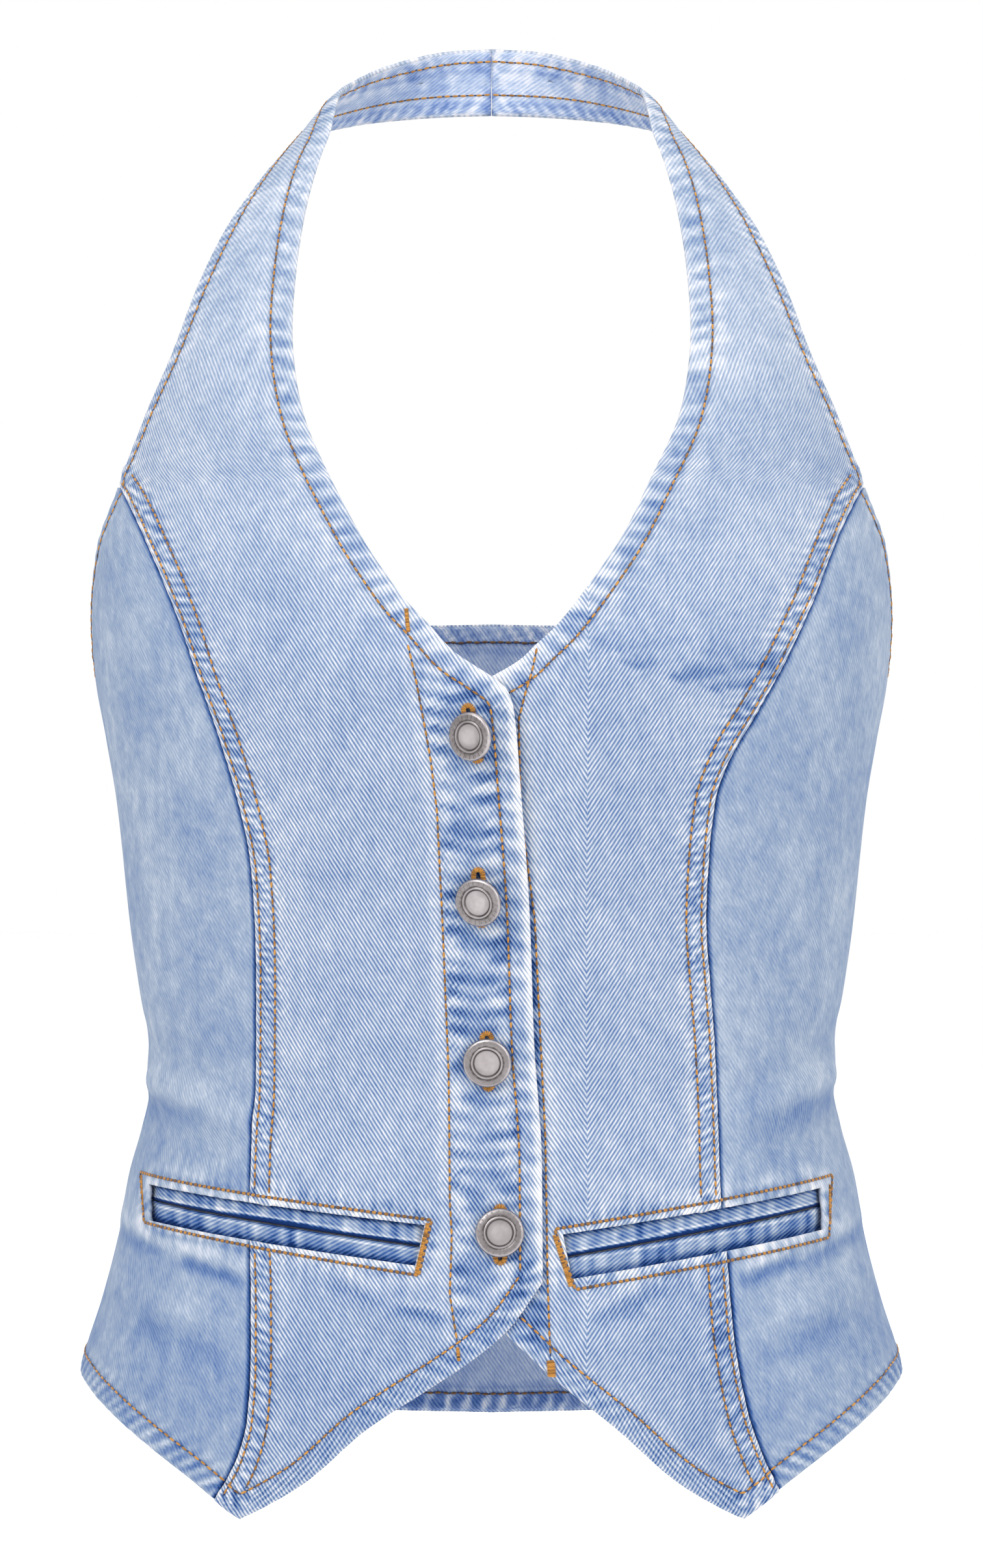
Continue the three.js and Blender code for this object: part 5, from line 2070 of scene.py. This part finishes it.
@dataclass
class Front:
    """One front of the waistcoat: two panels, a pocket and everything that is sewn on them."""

    tailor: Tailor
    pattern: FrontPattern
    wardrobe: Wardrobe

    def cut(self) -> tuple[Panel, Panel]:
        """Cut both panels, with their bands, marks and holes.

        Returns:
            The centre panel and the side panel.
        """
        tailor, side = self.tailor, self.pattern.side
        pocket = tailor.pockets[side]
        centre, outer = tailor.centre_front(self.pattern), tailor.side_front(self.pattern)
        window = pocket.outline(tailor.body)
        for panel in (centre, outer):
            panel.bands["window"] = Band(
                window, rows=(4.2,), rise=0.25, round_over=0.5, thick=0.2, pucker=0.2, seed=81,
                wave=5.6, lean=0.2, ink=0.9, spread=6, whiten=0.95, worn=2.2, blotch=0.13,
            )
            panel.holes.append(Hole(list(pocket.corners)))
            panel.bare.append(pocket.sewn)
            panel.marks.extend(tailor.creases[side])
        centre.marks.append(tailor.plackets[side])
        # The left centre panel gets the painted shadow of the right front's edge that lies over it.
        if not self.pattern.laps:
            level = np.arange(-484.0, -262.0, 4.0)
            centre.sunk["lap"] = tailor.body.from_front(tailor.right.edge_x(level) + 0.6, level)
        if self.pattern.laps:
            centre.holes.extend(button.slot() for button in tailor.buttons)
        for panel in (centre, outer):
            panel.shape()
        return centre, outer

    def sew(self, centre: Panel, outer: Panel) -> Sewing:
        """Topstitch the edges and seams, inside and out.

        Args:
            centre: The centre panel.
            outer: The side panel.

        Returns:
            The thread.
        """
        sewing = Sewing(f"topstitching_{self.pattern.side.name.lower()}")
        for panel in (centre, outer):
            for label, band in panel.bands.items():
                if label == "window":
                    continue
                others = tuple(k for k in panel.bands
                               if k not in (label, "window", "neck_seam", "princess"))
                for away in band.rows:
                    sewing.row(panel.row_of_stitches(label, away, False, others))
                for away in band.rows if band.inner_rows is None else band.inner_rows:
                    sewing.row(panel.row_of_stitches(label, away, True, others))
        return sewing

    def trim(self, sewing: Sewing, centre: Panel, outer: Panel) -> None:
        """Sew the placket, the pocket's outline, the bars and the buttonholes.

        Args:
            sewing: The thread that they join.
            centre: The centre panel.
            outer: The side panel.
        """
        tailor, side = self.tailor, self.pattern.side
        pocket, placket = tailor.pockets[side], tailor.plackets[side]
        both = [centre, outer]
        sewing.row(laid_line([centre], placket.stitch))
        for start, end, width in placket.bars:
            sewing.satin(laid_line([centre], (start, end), 0.7), width)
        for start, end in zip(pocket.sewn, (*pocket.sewn[1:], pocket.sewn[0])):
            sewing.row(laid_line(both, (start, end)), dark=0.25, tight=0.72, bold=1.5)
        for start, end, width in pocket.bars:
            sewing.satin(laid_line(both, (start, end), 0.7), width)
        if self.pattern.laps:
            for button in tailor.buttons:
                sewing.satin(laid_line([centre], button.purl_line(), 0.7), button.purl)

    def build(self) -> None:
        """Make and dress every piece of this front."""
        wardrobe, side = self.wardrobe, self.pattern.side
        pocket = self.tailor.pockets[side]
        centre, outer = self.cut()
        sewing = self.sew(centre, outer)
        self.trim(sewing, centre, outer)
        for panel, cloth in ((centre, wardrobe.centre[side]), (outer, wardrobe.side)):
            obj = dress(panel.mesh(), [cloth, wardrobe.facing], (panel.name,))
            panel.cut_size()
            panel.cut_area()
        dress(sewing.make(), [wardrobe.thread])
        for upper in (True, False):
            welt = pocket.welt(self.tailor.body, upper)
            obj = dress(welt.mesh(), [wardrobe.welt, wardrobe.reverse], (welt.name,))
            welt.cut_size()
            welt.cut_area()
        bag = pocket.bag(self.tailor.body, self.pattern)
        obj = dress(bag.mesh(), [wardrobe.pocketing, wardrobe.pocketing], (bag.name,))
        bag.cut_size()
        bag.cut_area()


@dataclass
class Rear:
    """The back of the waistcoat with its turned top and hem."""

    tailor: Tailor
    wardrobe: Wardrobe

    def build(self) -> None:
        """Make and dress the back and its sewing."""
        panel = self.tailor.back()
        panel.shape()
        sewing = Sewing("topstitching_back")
        for inside in (False, True):
            for label, band in panel.bands.items():
                for away in band.rows:
                    sewing.row(panel.row_of_stitches(label, away, inside), dark=0.75, bold=1.3)
        cloth = [self.wardrobe.centre[Side.RIGHT], self.wardrobe.reverse]
        obj = dress(panel.mesh(), cloth, ("back",))
        panel.cut_size()
        panel.cut_area()
        dress(sewing.make(), [self.wardrobe.thread])


def main() -> None:
    """Make every piece of the waistcoat, then the studio."""
    logging.basicConfig(level=logging.INFO, format="%(message)s")
    wardrobe = Wardrobe()
    tailor = Tailor()
    studio = Studio()
    studio.camera()
    studio.light()
    studio.floor()
    for pattern in (tailor.right, tailor.left):
        Front(tailor, pattern, wardrobe).build()
    Rear(tailor, wardrobe).build()
    for button in tailor.buttons:
        dress(button.mesh(tailor.body, tailor.lap), [wardrobe.nickel],
              (f"button_{button.number}",))


if __name__ == "__main__":
    main()
